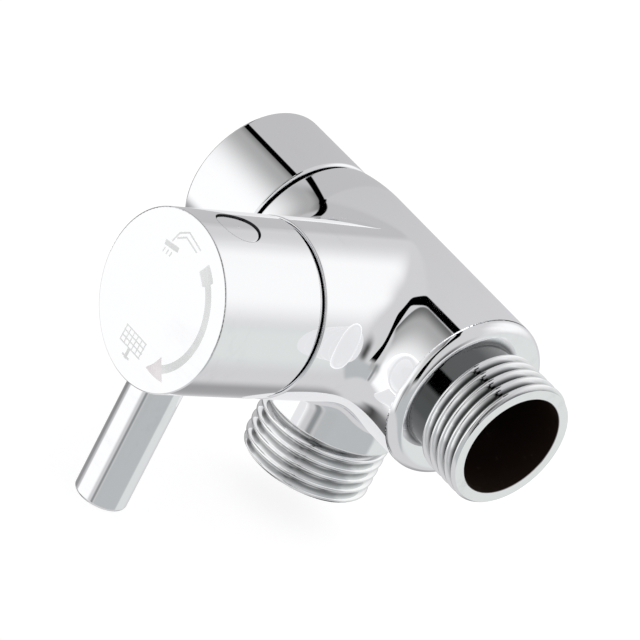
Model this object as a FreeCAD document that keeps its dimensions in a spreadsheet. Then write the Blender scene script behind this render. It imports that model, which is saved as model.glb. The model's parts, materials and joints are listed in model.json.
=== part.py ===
"""Shower diverter valve: one inlet with a swivel nut, two outlets, and a knob that picks between them.

The frame is the wall side's: +Y points back into the pipe, +Z is up and the knob points to -X.
The origin is the centre of the inlet washer's sealing face. All lengths are in millimetres.
Every piece is built from the valve's centre, where the axes of the tube, the knob and the lower
outlet cross. Pieces on the knob's axis and on the inlet's axis are turned about their own Z axis
and then laid along the valve.
"""
import FreeCAD, Part
import math
import os

import Sketcher

os.makedirs("parts", exist_ok=True)
doc = FreeCAD.newDocument("shower_diverter_valve")
sheet = doc.addObject("Spreadsheet::Sheet", "Sizes")


# Lengths that know their cell
class Length:
    """A value together with the sheet expression that gives it."""

    def __init__(self, value, text):
        self.value = float(value)
        self.text = text

    def join(self, sign, other, value):
        return Length(value, f"({self.text} {sign} {as_length(other).text})")

    def __add__(self, other):
        return self.join("+", other, self.value + as_length(other).value)

    def __sub__(self, other):
        return self.join("-", other, self.value - as_length(other).value)

    def __mul__(self, other):
        return self.join("*", other, self.value * as_length(other).value)

    def __truediv__(self, other):
        return self.join("/", other, self.value / as_length(other).value)

    def __neg__(self):
        return Length(-self.value, f"(-1 * {self.text})")


def as_length(given):
    """A plain number becomes a length of its own."""
    return given if isinstance(given, Length) else Length(given, repr(float(given)))


def size(name, value):
    """Write one driving dimension into the sheet under its own name."""
    row = size.row
    size.row += 1
    sheet.set(f"A{row}", name)
    sheet.set(f"B{row}", str(value))
    sheet.setAlias(f"B{row}", name)
    return Length(value, f"Sizes.{name}")


size.row = 1

# Fits and clearances
running_fit = size("running_fit", 0.05)
close_fit = size("close_fit", 0.02)
loose_fit = size("loose_fit", 0.3)
edge_break = size("edge_break", 0.35)

# Pipe thread on both outlets and in the nut, half an inch nominal
thread_major_radius = size("thread_major_radius", 10.4775)
thread_depth = size("thread_depth", 1.162)
thread_pitch = size("thread_pitch", 1.8143)

# Main tube of the body, along Y
run_radius_front = size("run_radius_front", 13.6)
run_radius_back = size("run_radius_back", 13.9)
run_back_end = size("run_back_end", 20.0)
run_front_end = size("run_front_end", 22.4)
crown_length = size("crown_length", 6.4)
crown_end_radius = size("crown_end_radius", 13.15)
crown_fullness = size("crown_fullness", 0.75)
shoulder_round = size("shoulder_round", 1.8)

# Front outlet, along -Y
front_outlet_end = size("front_outlet_end", 33.15)
undercut_width = size("undercut_width", 2.0)
undercut_depth = size("undercut_depth", 0.12)
outlet_chamfer = size("outlet_chamfer", 0.45)
outlet_wall = size("outlet_wall", 0.92)

# Lower outlet, along -Z
lower_outlet_end = size("lower_outlet_end", 27.9)
lower_thread_start = size("lower_thread_start", 18.5)
lower_undercut_width = size("lower_undercut_width", 0.5)
lower_neck_step = size("lower_neck_step", 0.42)
lower_neck_round = size("lower_neck_round", 1.2)
lower_outlet_chamfer = size("lower_outlet_chamfer", 0.6)

# Branch for the knob, along -X
branch_radius = size("branch_radius", 13.46)
branch_end = size("branch_end", 25.24)
junction_round = size("junction_round", 3.2)

# Waterways inside the body
seat_depth = size("seat_depth", 1.5)
chamber_wall = size("chamber_wall", 2.0)
passage_radius = size("passage_radius", 3.0)
passage_cover = size("passage_cover", 0.7)
port_margin = size("port_margin", 0.8)
port_wall = size("port_wall", 1.3)
inlet_shoulder = size("inlet_shoulder", 0.6)
chamber_radius = size("chamber_radius", 9.5)
chamber_step = size("chamber_step", 17.0)
chamber_step_width = size("chamber_step_width", 1.7)

# Spigot, nut and the pieces that they hold, along +Y
spigot_end = size("spigot_end", 25.0)
spigot_step = size("spigot_step", 1.3155)
spigot_wall = size("spigot_wall", 2.0)
snap_ring_start = size("snap_ring_start", 23.25)
snap_ring_thickness = size("snap_ring_thickness", 0.9)
snap_groove_depth = size("snap_groove_depth", 0.9)
thread_clearance = size("thread_clearance", 0.3155)
snap_ring_gap = size("snap_ring_gap", 5.0)
screen_thickness = size("screen_thickness", 0.5)
screen_seat_wall = size("screen_seat_wall", 1.15)
screen_hole_radius = size("screen_hole_radius", 0.5)
screen_hole_spacing = size("screen_hole_spacing", 1.5)
washer_thickness = size("washer_thickness", 2.0)
washer_overlap = size("washer_overlap", 0.2)
nut_radius = size("nut_radius", 13.05)
nut_start = size("nut_start", 20.9)
nut_end = size("nut_end", 35.55)
nut_collar = size("nut_collar", 2.1)
nut_edge_round = size("nut_edge_round", 0.5)

# Cartridge, along the knob's axis
base_seal_thickness = size("base_seal_thickness", 1.2)
disc_clearance = size("disc_clearance", 0.1)
fixed_disc_thickness = size("fixed_disc_thickness", 3.0)
moving_disc_step = size("moving_disc_step", 0.8)
moving_disc_thickness = size("moving_disc_thickness", 2.4)
carrier_thickness = size("carrier_thickness", 3.0)
dog_radius = size("dog_radius", 0.9)
dog_length = size("dog_length", 1.1)
dog_margin = size("dog_margin", 1.7)
dog_angle = 60
tongue_width = size("tongue_width", 3.0)
tongue_depth = size("tongue_depth", 1.6)
tongue_margin = size("tongue_margin", 0.9)
foot_step = size("foot_step", 0.8)
foot_thickness = size("foot_thickness", 2.2)
friction_washer_thickness = size("friction_washer_thickness", 0.6)
spindle_radius = size("spindle_radius", 4.0)
spindle_end = size("spindle_end", 40.8)
spindle_flat_depth = size("spindle_flat_depth", 0.8)
spindle_flat_length = size("spindle_flat_length", 7.0)
barrel_clearance = size("barrel_clearance", 0.1)
barrel_wall = size("barrel_wall", 1.3)
flange_thickness = size("flange_thickness", 1.5)
neck_radius = size("neck_radius", 6.5)
neck_end = size("neck_end", 24.0)
window_width = size("window_width", 8.0)
window_length = size("window_length", 5.6)
window_start = size("window_start", 3.0)
key_width = size("key_width", 1.6)
key_height = size("key_height", 0.9)
notch_margin = size("notch_margin", 0.1)
o_ring_section = size("o_ring_section", 0.75)
housing_ring_place = size("housing_ring_place", 14.6)
inner_ring_place = size("inner_ring_place", 15.6)
outer_ring_place = size("outer_ring_place", 19.6)
clip_thickness = size("clip_thickness", 0.7)
clip_radius = size("clip_radius", 5.4)
clip_groove_radius = size("clip_groove_radius", 3.4)
clip_gap = size("clip_gap", 3.0)
bonnet_hole_radius = size("bonnet_hole_radius", 7.0)
bonnet_end = size("bonnet_end", 29.2)
bonnet_slot_width = size("bonnet_slot_width", 3.0)
bonnet_slot_depth = size("bonnet_slot_depth", 2.0)
slide_ring_length = size("slide_ring_length", 2.6)
slide_ring_wall = size("slide_ring_wall", 1.3)

# Knob and lever
knob_radius = size("knob_radius", 13.45)
knob_start = size("knob_start", 26.14)
knob_face = size("knob_face", 45.0)
knob_edge_break = size("knob_edge_break", 0.25)
skirt_wall = size("skirt_wall", 1.35)
knob_recess_depth = size("knob_recess_depth", 3.9)
lever_place = size("lever_place", 37.6)
lever_radius = size("lever_radius", 4.15)
lever_end = size("lever_end", 34.75)
lever_end_round = size("lever_end_round", 0.6)
lever_socket_depth = size("lever_socket_depth", 1.6)
lever_stud_radius = size("lever_stud_radius", 3.0)
lever_stud_end = size("lever_stud_end", 5.6)
plug_radius = size("plug_radius", 3.5)
plug_depth = size("plug_depth", 0.2)
plug_thickness = size("plug_thickness", 1.9)
plug_edge_round = size("plug_edge_round", 0.25)
set_screw_radius = size("set_screw_radius", 2.5)
set_screw_length = size("set_screw_length", 5.0)
hex_socket_width = size("hex_socket_width", 2.5)
hex_socket_depth = size("hex_socket_depth", 2.2)

# Radii that follow from the sizes
thread_minor_radius = thread_major_radius - thread_depth
undercut_radius = thread_minor_radius - undercut_depth
outlet_bore_radius = thread_minor_radius - outlet_wall
lower_neck_radius = thread_major_radius + lower_neck_step
spigot_radius = thread_minor_radius - spigot_step
inlet_bore_radius = spigot_radius - spigot_wall
snap_groove_radius = spigot_radius - snap_groove_depth
snap_ring_radius = thread_minor_radius - thread_clearance
washer_radius = thread_minor_radius - thread_clearance
washer_hole_radius = inlet_bore_radius - washer_overlap
screen_radius = spigot_radius - screen_seat_wall
bonnet_bore_radius = chamber_radius + chamber_step_width
flange_radius = bonnet_bore_radius - barrel_clearance * 2
barrel_radius = chamber_radius - barrel_clearance
barrel_bore_radius = barrel_radius - barrel_wall
fixed_disc_radius = barrel_bore_radius - disc_clearance
moving_disc_radius = fixed_disc_radius - moving_disc_step
foot_radius = moving_disc_radius - foot_step
dog_circle_radius = moving_disc_radius - dog_radius - dog_margin
knob_recess_radius = knob_radius - skirt_wall
slide_ring_radius = knob_recess_radius - loose_fit
bonnet_collar_radius = slide_ring_radius - slide_ring_wall

# The two ports lie a right angle apart, with a wall between them and a margin to the disc's rim
port_span = fixed_disc_radius - port_margin
port_radius = (port_span * math.sqrt(2) - port_wall) / (2 + math.sqrt(2))
port_circle_radius = port_span - port_radius
notch_width = (port_radius + notch_margin) * 2
notch_root = port_circle_radius - port_radius - notch_margin * 2

# Places that follow from the sizes
centre_to_washer = spigot_end + washer_thickness
outlet_bore_bottom = chamber_radius + chamber_wall
inlet_bore_bottom = fixed_disc_radius + inlet_shoulder
passage_depth = seat_depth + passage_cover + passage_radius
plug_top = knob_radius - plug_depth
seat_place = -seat_depth
disc_start = seat_place + base_seal_thickness
moving_start = disc_start + fixed_disc_thickness + close_fit
carrier_start = moving_start + moving_disc_thickness
foot_start = carrier_start + carrier_thickness
friction_start = foot_start + foot_thickness
barrel_roof = friction_start + friction_washer_thickness + close_fit
spindle_hole_radius = spindle_radius + running_fit
socket_radius = lever_radius + close_fit
bonnet_start = chamber_step + flange_thickness
knob_bore_end = spindle_end + loose_fit
recess_end = knob_start + knob_recess_depth

# How the turned pieces lie in the valve: their own Z along -X or along +Y
CENTRE = FreeCAD.Vector(0, -centre_to_washer.value, 0)
ALONG_KNOB = FreeCAD.Placement(CENTRE, FreeCAD.Rotation(FreeCAD.Vector(0, 1, 0), -90))
ALONG_INLET = FreeCAD.Placement(CENTRE, FreeCAD.Rotation(FreeCAD.Vector(1, 0, 0), -90))
UPRIGHT = FreeCAD.Placement(CENTRE, FreeCAD.Rotation())
LEVER_CENTRE = CENTRE - FreeCAD.Vector(lever_place.value, 0, 0)
ACROSS_KNOB = FreeCAD.Placement(LEVER_CENTRE, FreeCAD.Rotation())
X_AXIS = FreeCAD.Vector(1, 0, 0)
Y_AXIS = FreeCAD.Vector(0, 1, 0)
UP = FreeCAD.Vector(0, 0, 1)


# Shared steps
def new_piece(name, placement):
    """An empty body for one physical piece."""
    piece = doc.addObject("PartDesign::Body", name)
    piece.Label = name
    piece.Placement = placement
    return piece


def new_sketch(piece, plane, offset=0):
    """A sketch on one of the piece's own planes, moved along the plane's normal."""
    sketch = piece.newObject("Sketcher::SketchObject", "Profile")
    base = next(f for f in piece.Origin.OriginFeatures if f.Role == plane)
    sketch.AttachmentSupport = (base, "")
    sketch.MapMode = "FlatFace"
    sketch.setExpression("AttachmentOffset.Base.z", as_length(offset).text)
    return sketch


def pin_point(sketch, geometry, end, across, along):
    """Hold one point of a sketch at two named distances from the origin."""
    for kind, given in (("DistanceX", across), ("DistanceY", along)):
        distance = as_length(given)
        number = sketch.addConstraint(
            Sketcher.Constraint(kind, -1, 1, geometry, end, distance.value)
        )
        sketch.setExpression(f"Constraints[{number}]", distance.text)


def draw_outline(sketch, points):
    """A closed outline through named points.

    A point may carry a third one: the middle of an arc to the next.
    """
    corners = [FreeCAD.Vector(as_length(p[0]).value, as_length(p[1]).value, 0) for p in points]
    sides = []
    for i, point in enumerate(points):
        following = corners[(i + 1) % len(points)]
        if len(point) == 3:
            through = FreeCAD.Vector(*(as_length(v).value for v in point[2]), 0)
            arc = Part.Arc(corners[i], through, following)
            number = sketch.addGeometry(arc, False)
            drawn = sketch.Geometry[number]
            forward = drawn.StartPoint.distanceToPoint(corners[i]) < 1e-6
            sides.append((number, 1 if forward else 2, 2 if forward else 1))
            radius = Sketcher.Constraint("Radius", number, drawn.Radius)
            sketch.addConstraint(radius)
        else:
            number = sketch.addGeometry(Part.LineSegment(corners[i], following), False)
            sides.append((number, 1, 2))
    for i, (number, start, end) in enumerate(sides):
        after = sides[(i + 1) % len(sides)]
        sketch.addConstraint(Sketcher.Constraint("Coincident", number, end, after[0], after[1]))
        pin_point(sketch, number, start, points[i][0], points[i][1])


def add_circle(sketch, across, along, radius):
    """A circle with a named centre and radius."""
    centre = FreeCAD.Vector(as_length(across).value, as_length(along).value, 0)
    number = sketch.addGeometry(Part.Circle(centre, FreeCAD.Vector(0, 0, 1), radius.value), False)
    pin_point(sketch, number, 3, across, along)
    fixed = sketch.addConstraint(Sketcher.Constraint("Radius", number, radius.value))
    sketch.setExpression(f"Constraints[{fixed}]", radius.text)


def finish_step(piece, step, grows, base=None):
    """Work the step out and see that it added or took away material."""
    base = base or step.BaseFeature
    before = base.Shape.Volume if base else 0.0
    piece.Tip = step
    doc.recompute()
    after = step.Shape.Volume
    if step.State and "Invalid" in step.State or (after > before) != grows:
        raise RuntimeError(f"{piece.Label} {step.Name}: volume {before:.3f} to {after:.3f}")
    return step


def turn(piece, plane, axis, points, grows=True):
    """Turn an outline about one of its sketch's axes, as added or as removed material."""
    sketch = new_sketch(piece, plane)
    draw_outline(sketch, points)
    kind = "Revolution" if grows else "Groove"
    step = piece.newObject(f"PartDesign::{kind}", kind)
    step.Profile = sketch
    step.ReferenceAxis = (sketch, [axis])
    step.Angle = 360
    return finish_step(piece, step, grows)


def push(piece, sketch, length, grows, away=False):
    """Pad or pocket a sketch over a named length, along its normal when away is set."""
    kind = "Pad" if grows else "Pocket"
    step = piece.newObject(f"PartDesign::{kind}", kind)
    step.Profile = sketch
    step.setExpression("Length", as_length(length).text)
    step.Reversed = away if not grows else not away
    return finish_step(piece, step, grows)


def drill(piece, plane, start, across, along, radius, length, away):
    """A round hole from a plane at start."""
    sketch = new_sketch(piece, plane, start)
    add_circle(sketch, across, along, radius)
    return push(piece, sketch, length, False, away)


def slot(piece, plane, start, corner, opposite, length, away):
    """A hole of rectangular section between two corners, from a plane at start."""
    sketch = new_sketch(piece, plane, start)
    points = [corner, (opposite[0], corner[1]), opposite, (corner[0], opposite[1])]
    draw_outline(sketch, points)
    return push(piece, sketch, length, False, away)


def ring_edges(shape, radius, place, axis):
    """Names of the circular edges of one radius whose centre lies at one place on an axis."""
    found = []
    for number, edge in enumerate(shape.Edges, 1):
        curve = edge.Curve
        if not isinstance(curve, Part.Circle) or abs(curve.Radius - radius.value) > 1e-3:
            continue
        if (curve.Center - axis * place.value).Length < 1e-3:
            found.append(f"Edge{number}")
    return found


def dress(piece, kind, edges, amount):
    """Round or chamfer some edges by a named amount."""
    base = piece.Tip
    step = piece.newObject(f"PartDesign::{kind}", kind)
    step.Base = (base, edges)
    step.setExpression("Radius" if kind == "Fillet" else "Size", amount.text)
    piece.Tip = step
    doc.recompute()
    if step.Shape.isNull() or "Invalid" in step.State or not edges:
        raise RuntimeError(f"{piece.Label} {kind} on {edges}")
    return step


def round_ring(piece, kind, amount, axis, ring):
    """Round or chamfer the turned edge given as (radius, place) on an axis of the piece."""
    return dress(piece, kind, ring_edges(piece.Tip.Shape, *ring, axis), amount)


def round_junctions(piece, amount, radius, axis):
    """Round the edges where a tube of this radius about an axis runs into what was there before."""
    edges = []
    for number, edge in enumerate(piece.Tip.Shape.Edges, 1):
        middle = edge.valueAt((edge.FirstParameter + edge.LastParameter) / 2)
        from_axis = (middle - axis * middle.dot(axis)).Length
        if isinstance(edge.Curve, Part.BSplineCurve) and abs(from_axis - radius.value) < 0.01:
            edges.append(f"Edge{number}")
    return dress(piece, "Fillet", edges, amount)


def cut_thread(piece, plane, start, length, root, crest, hidden=0.3):
    """Cut a pipe thread's groove along the sketch's upright axis, from start over a length.

    The root's flat and the crest's are a sixth of the pitch each, and each flank is a third.
    """
    depth = crest - root
    root_half = thread_pitch / 12
    open_half = root_half + thread_pitch / 3 * (1 + hidden / abs(depth.value))
    beyond = crest + (hidden if depth.value > 0 else -hidden)
    sketch = new_sketch(piece, plane)
    draw_outline(sketch, [
        (root, start - root_half),
        (beyond, start - open_half),
        (beyond, start + open_half),
        (root, start + root_half),
    ])
    step = piece.newObject("PartDesign::SubtractiveHelix", "Thread")
    step.Profile = sketch
    step.ReferenceAxis = (sketch, ["V_Axis"])
    step.Mode = 0
    step.setExpression("Pitch", thread_pitch.text)
    step.setExpression("Height", length.text)
    return finish_step(piece, step, False)


# Body casting
def make_valve_body():
    """The casting: tube, branch and two outlets, then its waterways and threads."""
    piece = new_piece("valve_body", UPRIGHT)
    crown_start = run_back_end - crown_length
    crown_middle = (
        crown_end_radius + (run_radius_back - crown_end_radius) * crown_fullness,
        run_back_end - crown_length / 2,
    )
    shoulder = -run_front_end
    front_thread_start = -(run_front_end + undercut_width)
    turn(piece, "XY_Plane", "V_Axis", [
        (0, -front_outlet_end),
        (thread_major_radius, -front_outlet_end),
        (thread_major_radius, front_thread_start),
        (undercut_radius, front_thread_start),
        (undercut_radius, shoulder),
        (run_radius_front, shoulder),
        (run_radius_back, crown_start, crown_middle),
        (crown_end_radius, run_back_end),
        (spigot_radius, run_back_end),
        (spigot_radius, spigot_end),
        (0, spigot_end),
    ])
    turn(piece, "XY_Plane", "H_Axis", [
        (0, 0),
        (0, branch_radius),
        (-branch_end, branch_radius),
        (-branch_end, 0),
    ])
    round_junctions(piece, junction_round, branch_radius, X_AXIS)
    add_lower_outlet(piece)
    round_ring(piece, "Fillet", shoulder_round, Y_AXIS, (run_radius_front, shoulder))
    round_ring(piece, "Fillet", edge_break, Y_AXIS, (crown_end_radius, run_back_end))
    round_ring(piece, "Fillet", edge_break, X_AXIS, (branch_radius, -branch_end))
    round_ring(piece, "Chamfer", outlet_chamfer, Y_AXIS, (thread_major_radius, -front_outlet_end))
    cut_waterways(piece)
    cut_thread(
        piece, "XY_Plane", -(front_outlet_end + thread_pitch / 2),
        front_outlet_end + thread_pitch / 2 - run_front_end - undercut_width / 2,
        thread_minor_radius, thread_major_radius,
    )
    return piece


def add_lower_outlet(piece):
    """The threaded tube with the narrow groove where its thread runs out, then the plain neck."""
    crest_start = -(lower_thread_start + lower_undercut_width)
    turn(piece, "XZ_Plane", "V_Axis", [
        (0, 0),
        (undercut_radius, 0),
        (undercut_radius, crest_start),
        (thread_major_radius, crest_start),
        (thread_major_radius, -lower_outlet_end),
        (0, -lower_outlet_end),
    ])
    round_ring(piece, "Chamfer", lower_outlet_chamfer, UP, (thread_major_radius, -lower_outlet_end))
    cut_thread(
        piece, "XZ_Plane", -(lower_outlet_end + thread_pitch / 2),
        lower_outlet_end + thread_pitch - lower_thread_start,
        thread_minor_radius, thread_major_radius,
    )
    turn(piece, "XZ_Plane", "V_Axis", [
        (0, 0),
        (lower_neck_radius, 0),
        (lower_neck_radius, -lower_thread_start),
        (0, -lower_thread_start),
    ])
    round_junctions(piece, lower_neck_round, lower_neck_radius, UP)
    round_ring(piece, "Fillet", edge_break, UP, (lower_neck_radius, -lower_thread_start))


def cut_waterways(piece):
    """Bores of the inlet, the cartridge's chamber, its two ports and both outlets."""
    turn(piece, "XY_Plane", "V_Axis", [
        (0, -front_outlet_end),
        (outlet_bore_radius, -front_outlet_end),
        (outlet_bore_radius, -outlet_bore_bottom),
        (0, -outlet_bore_bottom),
    ], False)
    turn(piece, "XZ_Plane", "V_Axis", [
        (0, -lower_outlet_end),
        (outlet_bore_radius, -lower_outlet_end),
        (outlet_bore_radius, -outlet_bore_bottom),
        (0, -outlet_bore_bottom),
    ], False)
    screen_seat = spigot_end - screen_thickness - running_fit
    turn(piece, "XY_Plane", "V_Axis", [
        (0, spigot_end),
        (screen_radius + running_fit, spigot_end),
        (screen_radius + running_fit, screen_seat),
        (inlet_bore_radius, screen_seat),
        (inlet_bore_radius, inlet_bore_bottom),
        (0, inlet_bore_bottom),
    ], False)
    turn(piece, "XY_Plane", "V_Axis", [
        (snap_groove_radius, snap_ring_start - close_fit),
        (spigot_radius + loose_fit, snap_ring_start - close_fit),
        (spigot_radius + loose_fit, snap_ring_start + snap_ring_thickness + close_fit),
        (snap_groove_radius, snap_ring_start + snap_ring_thickness + close_fit),
    ], False)
    turn(piece, "XY_Plane", "H_Axis", [
        (seat_depth, 0),
        (seat_depth, chamber_radius),
        (-chamber_step, chamber_radius),
        (-chamber_step, bonnet_bore_radius),
        (-branch_end, bonnet_bore_radius),
        (-branch_end, 0),
    ], False)
    port_length = passage_depth - seat_depth
    drill(piece, "YZ_Plane", seat_depth, -port_circle_radius, 0, port_radius, port_length, True)
    drill(piece, "YZ_Plane", seat_depth, 0, -port_circle_radius, port_radius, port_length, True)
    passage_length = outlet_bore_bottom - port_circle_radius
    drill(
        piece, "XZ_Plane", outlet_bore_bottom, passage_depth, 0,
        passage_radius, passage_length, False,
    )
    drill(
        piece, "XY_Plane", -outlet_bore_bottom, passage_depth, 0,
        passage_radius, passage_length, True,
    )


# Swivel nut and what it holds
def make_inlet_nut():
    """Plain round nut with a collar behind the snap ring and an inside pipe thread."""
    piece = new_piece("inlet_nut", ALONG_INLET)
    hole = spigot_radius + running_fit
    collar_end = nut_start + nut_collar
    relief_end = centre_to_washer
    relief_radius = thread_major_radius + running_fit
    turn(piece, "XZ_Plane", "V_Axis", [
        (hole, nut_start),
        (nut_radius, nut_start),
        (nut_radius, nut_end),
        (thread_minor_radius, nut_end),
        (thread_minor_radius, relief_end),
        (relief_radius, relief_end),
        (relief_radius, collar_end),
        (hole, collar_end),
    ])
    round_ring(piece, "Fillet", nut_edge_round, UP, (nut_radius, nut_start))
    round_ring(piece, "Fillet", nut_edge_round, UP, (nut_radius, nut_end))
    round_ring(piece, "Chamfer", nut_edge_round, UP, (thread_minor_radius, nut_end))
    cut_thread(
        piece, "XZ_Plane", relief_end - thread_pitch / 2, nut_end - relief_end + thread_pitch,
        thread_major_radius, thread_minor_radius,
    )
    return piece


def make_ring(name, placement, inside, outside, start, thickness):
    """A plain ring or, with no inside, a disc."""
    piece = new_piece(name, placement)
    turn(piece, "XZ_Plane", "V_Axis", [
        (inside, start),
        (outside, start),
        (outside, start + thickness),
        (inside, start + thickness),
    ])
    return piece


def make_split_ring(name, placement, inside, outside, start, thickness, gap):
    """A flat ring with an opening on its own +X side."""
    piece = make_ring(name, placement, inside, outside, start, thickness)
    slot(piece, "XY_Plane", start, (0, -gap / 2), (outside * 2, gap / 2), thickness, True)
    return piece


def make_filter_screen():
    """Thin disc with rings of round holes."""
    start = spigot_end - running_fit - screen_thickness
    piece = make_ring("filter_screen", ALONG_INLET, 0, screen_radius, start, screen_thickness)
    for ring in range(1, 4):
        place = screen_hole_spacing * ring
        hole = drill(piece, "XY_Plane", start, place, 0, screen_hole_radius, screen_thickness, True)
        repeat_round(piece, hole, 6 * ring)
    return piece


def repeat_round(piece, step, count):
    """Repeat one step around the piece's own Z axis."""
    pattern = piece.newObject("PartDesign::PolarPattern", "PolarPattern")
    pattern.Originals = [step]
    pattern.Axis = (step.Profile[0], ["N_Axis"])
    pattern.Angle = 360
    pattern.Occurrences = count
    return finish_step(piece, pattern, False, step)


def make_o_ring(name, placement, centre_radius, place):
    """A round seal."""
    piece = new_piece(name, placement)
    sketch = new_sketch(piece, "XZ_Plane")
    add_circle(sketch, centre_radius, place, o_ring_section)
    step = piece.newObject("PartDesign::Revolution", "Revolution")
    step.Profile = sketch
    step.ReferenceAxis = (sketch, ["V_Axis"])
    step.Angle = 360
    finish_step(piece, step, True)
    return piece


# Cartridge
def cut_ports(piece, start, length):
    """The two ports and the key slot that the seal and the fixed disc share."""
    drill(piece, "XY_Plane", start, 0, -port_circle_radius, port_radius, length, True)
    drill(piece, "XY_Plane", start, -port_circle_radius, 0, port_radius, length, True)
    half = key_width / 2 + running_fit
    inner = barrel_bore_radius - key_height - running_fit
    slot(piece, "XY_Plane", start, (inner, -half), (barrel_radius, half), length, True)


def make_base_seal():
    piece = make_ring(
        "base_seal", ALONG_KNOB, 0, fixed_disc_radius, seat_place, base_seal_thickness
    )
    cut_ports(piece, seat_place, base_seal_thickness)
    return piece


def make_fixed_disc():
    piece = make_ring(
        "fixed_disc", ALONG_KNOB, 0, fixed_disc_radius, disc_start, fixed_disc_thickness
    )
    cut_ports(piece, disc_start, fixed_disc_thickness)
    return piece


def cut_notch(piece, start, length):
    """The open notch that lets water down into one port, on the lever's side."""
    slot(
        piece, "XY_Plane", start, (-moving_disc_radius * 2, -notch_width / 2),
        (-notch_root, notch_width / 2), length, True,
    )


def dog_places():
    """Across and along of the two dogs that turn the moving disc."""
    across = dog_circle_radius * math.cos(math.radians(dog_angle))
    along = dog_circle_radius * math.sin(math.radians(dog_angle))
    return [(across, along), (across, -along)]


def make_moving_disc():
    piece = make_ring(
        "moving_disc", ALONG_KNOB, 0, moving_disc_radius, moving_start, moving_disc_thickness
    )
    cut_notch(piece, moving_start, moving_disc_thickness)
    top = moving_start + moving_disc_thickness
    for across, along in dog_places():
        hole = dog_radius + running_fit
        drill(piece, "XY_Plane", top, across, along, hole, dog_length + running_fit, False)
    return piece


def make_disc_carrier():
    piece = make_ring(
        "disc_carrier", ALONG_KNOB, 0, moving_disc_radius, carrier_start, carrier_thickness
    )
    cut_notch(piece, carrier_start, carrier_thickness)
    half = tongue_width / 2 + running_fit
    slot(
        piece, "XY_Plane", foot_start, (-half, -moving_disc_radius * 2),
        (half, moving_disc_radius * 2), tongue_depth + running_fit, False,
    )
    for across, along in dog_places():
        sketch = new_sketch(piece, "XY_Plane", carrier_start)
        add_circle(sketch, across, along, dog_radius)
        push(piece, sketch, dog_length, True)
    return piece


def make_spindle():
    """Foot with its tongue, shaft with the clip's groove and the flat for the set screw."""
    piece = new_piece("cartridge_spindle", ALONG_KNOB)
    groove_start = neck_end + loose_fit
    groove_end = groove_start + clip_thickness + close_fit * 2
    turn(piece, "XZ_Plane", "V_Axis", [
        (0, foot_start),
        (foot_radius, foot_start),
        (foot_radius, friction_start),
        (spindle_radius, friction_start),
        (spindle_radius, groove_start),
        (clip_groove_radius, groove_start),
        (clip_groove_radius, groove_end),
        (spindle_radius, groove_end),
        (spindle_radius, spindle_end),
        (0, spindle_end),
    ])
    round_ring(piece, "Chamfer", edge_break, UP, (spindle_radius, spindle_end))
    sketch = new_sketch(piece, "XY_Plane", foot_start)
    half = tongue_width / 2
    reach = foot_radius - tongue_margin
    draw_outline(sketch, [(-half, -reach), (half, -reach), (half, reach), (-half, reach)])
    push(piece, sketch, tongue_depth, True)
    slot(
        piece, "XY_Plane", spindle_end, (spindle_radius - spindle_flat_depth, -spindle_radius),
        (spindle_radius * 2, spindle_radius), spindle_flat_length, False,
    )
    return piece


def make_cartridge_housing():
    """Barrel around the discs, flange under the bonnet nut and neck around the spindle."""
    piece = new_piece("cartridge_housing", ALONG_KNOB)
    foot = seat_place + loose_fit
    turn(piece, "XZ_Plane", "V_Axis", [
        (barrel_bore_radius, foot),
        (barrel_radius, foot),
        (barrel_radius, chamber_step),
        (flange_radius, chamber_step),
        (flange_radius, bonnet_start),
        (neck_radius, bonnet_start),
        (neck_radius, neck_end),
        (spindle_hole_radius, neck_end),
        (spindle_hole_radius, barrel_roof),
        (barrel_bore_radius, barrel_roof),
    ])
    half_groove = o_ring_section + running_fit
    groove_floor = chamber_radius - close_fit * 2 - o_ring_section * 2
    turn(piece, "XZ_Plane", "V_Axis", [
        (groove_floor, housing_ring_place - half_groove),
        (chamber_radius, housing_ring_place - half_groove),
        (chamber_radius, housing_ring_place + half_groove),
        (groove_floor, housing_ring_place + half_groove),
    ], False)
    groove_roof = spindle_hole_radius + o_ring_section * 2 + close_fit
    for place in (inner_ring_place, outer_ring_place):
        turn(piece, "XZ_Plane", "V_Axis", [
            (spindle_radius, place - half_groove),
            (groove_roof, place - half_groove),
            (groove_roof, place + half_groove),
            (spindle_radius, place + half_groove),
        ], False)
    slot(
        piece, "XZ_Plane", -chamber_radius, (-window_width / 2, window_start),
        (window_width / 2, window_start + window_length), chamber_radius * 2, True,
    )
    sketch = new_sketch(piece, "XY_Plane", foot)
    half = key_width / 2
    draw_outline(sketch, [
        (barrel_bore_radius - key_height, -half),
        (barrel_bore_radius + loose_fit, -half),
        (barrel_bore_radius + loose_fit, half),
        (barrel_bore_radius - key_height, half),
    ])
    push(piece, sketch, window_start - foot - loose_fit, True, True)
    return piece


def make_bonnet_nut():
    """Screwed ring with a collar that the knob's skirt turns around."""
    piece = new_piece("bonnet_nut", ALONG_KNOB)
    outside = bonnet_bore_radius - close_fit
    turn(piece, "XZ_Plane", "V_Axis", [
        (bonnet_hole_radius, bonnet_start),
        (outside, bonnet_start),
        (outside, branch_end),
        (bonnet_collar_radius, branch_end),
        (bonnet_collar_radius, bonnet_end),
        (bonnet_hole_radius, bonnet_end),
    ])
    half = bonnet_slot_width / 2
    for corner in ((half, bonnet_collar_radius * 2), (bonnet_collar_radius * 2, half)):
        slot(
            piece, "XY_Plane", bonnet_end, (-corner[0], -corner[1]), corner,
            bonnet_slot_depth, False,
        )
    return piece


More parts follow.
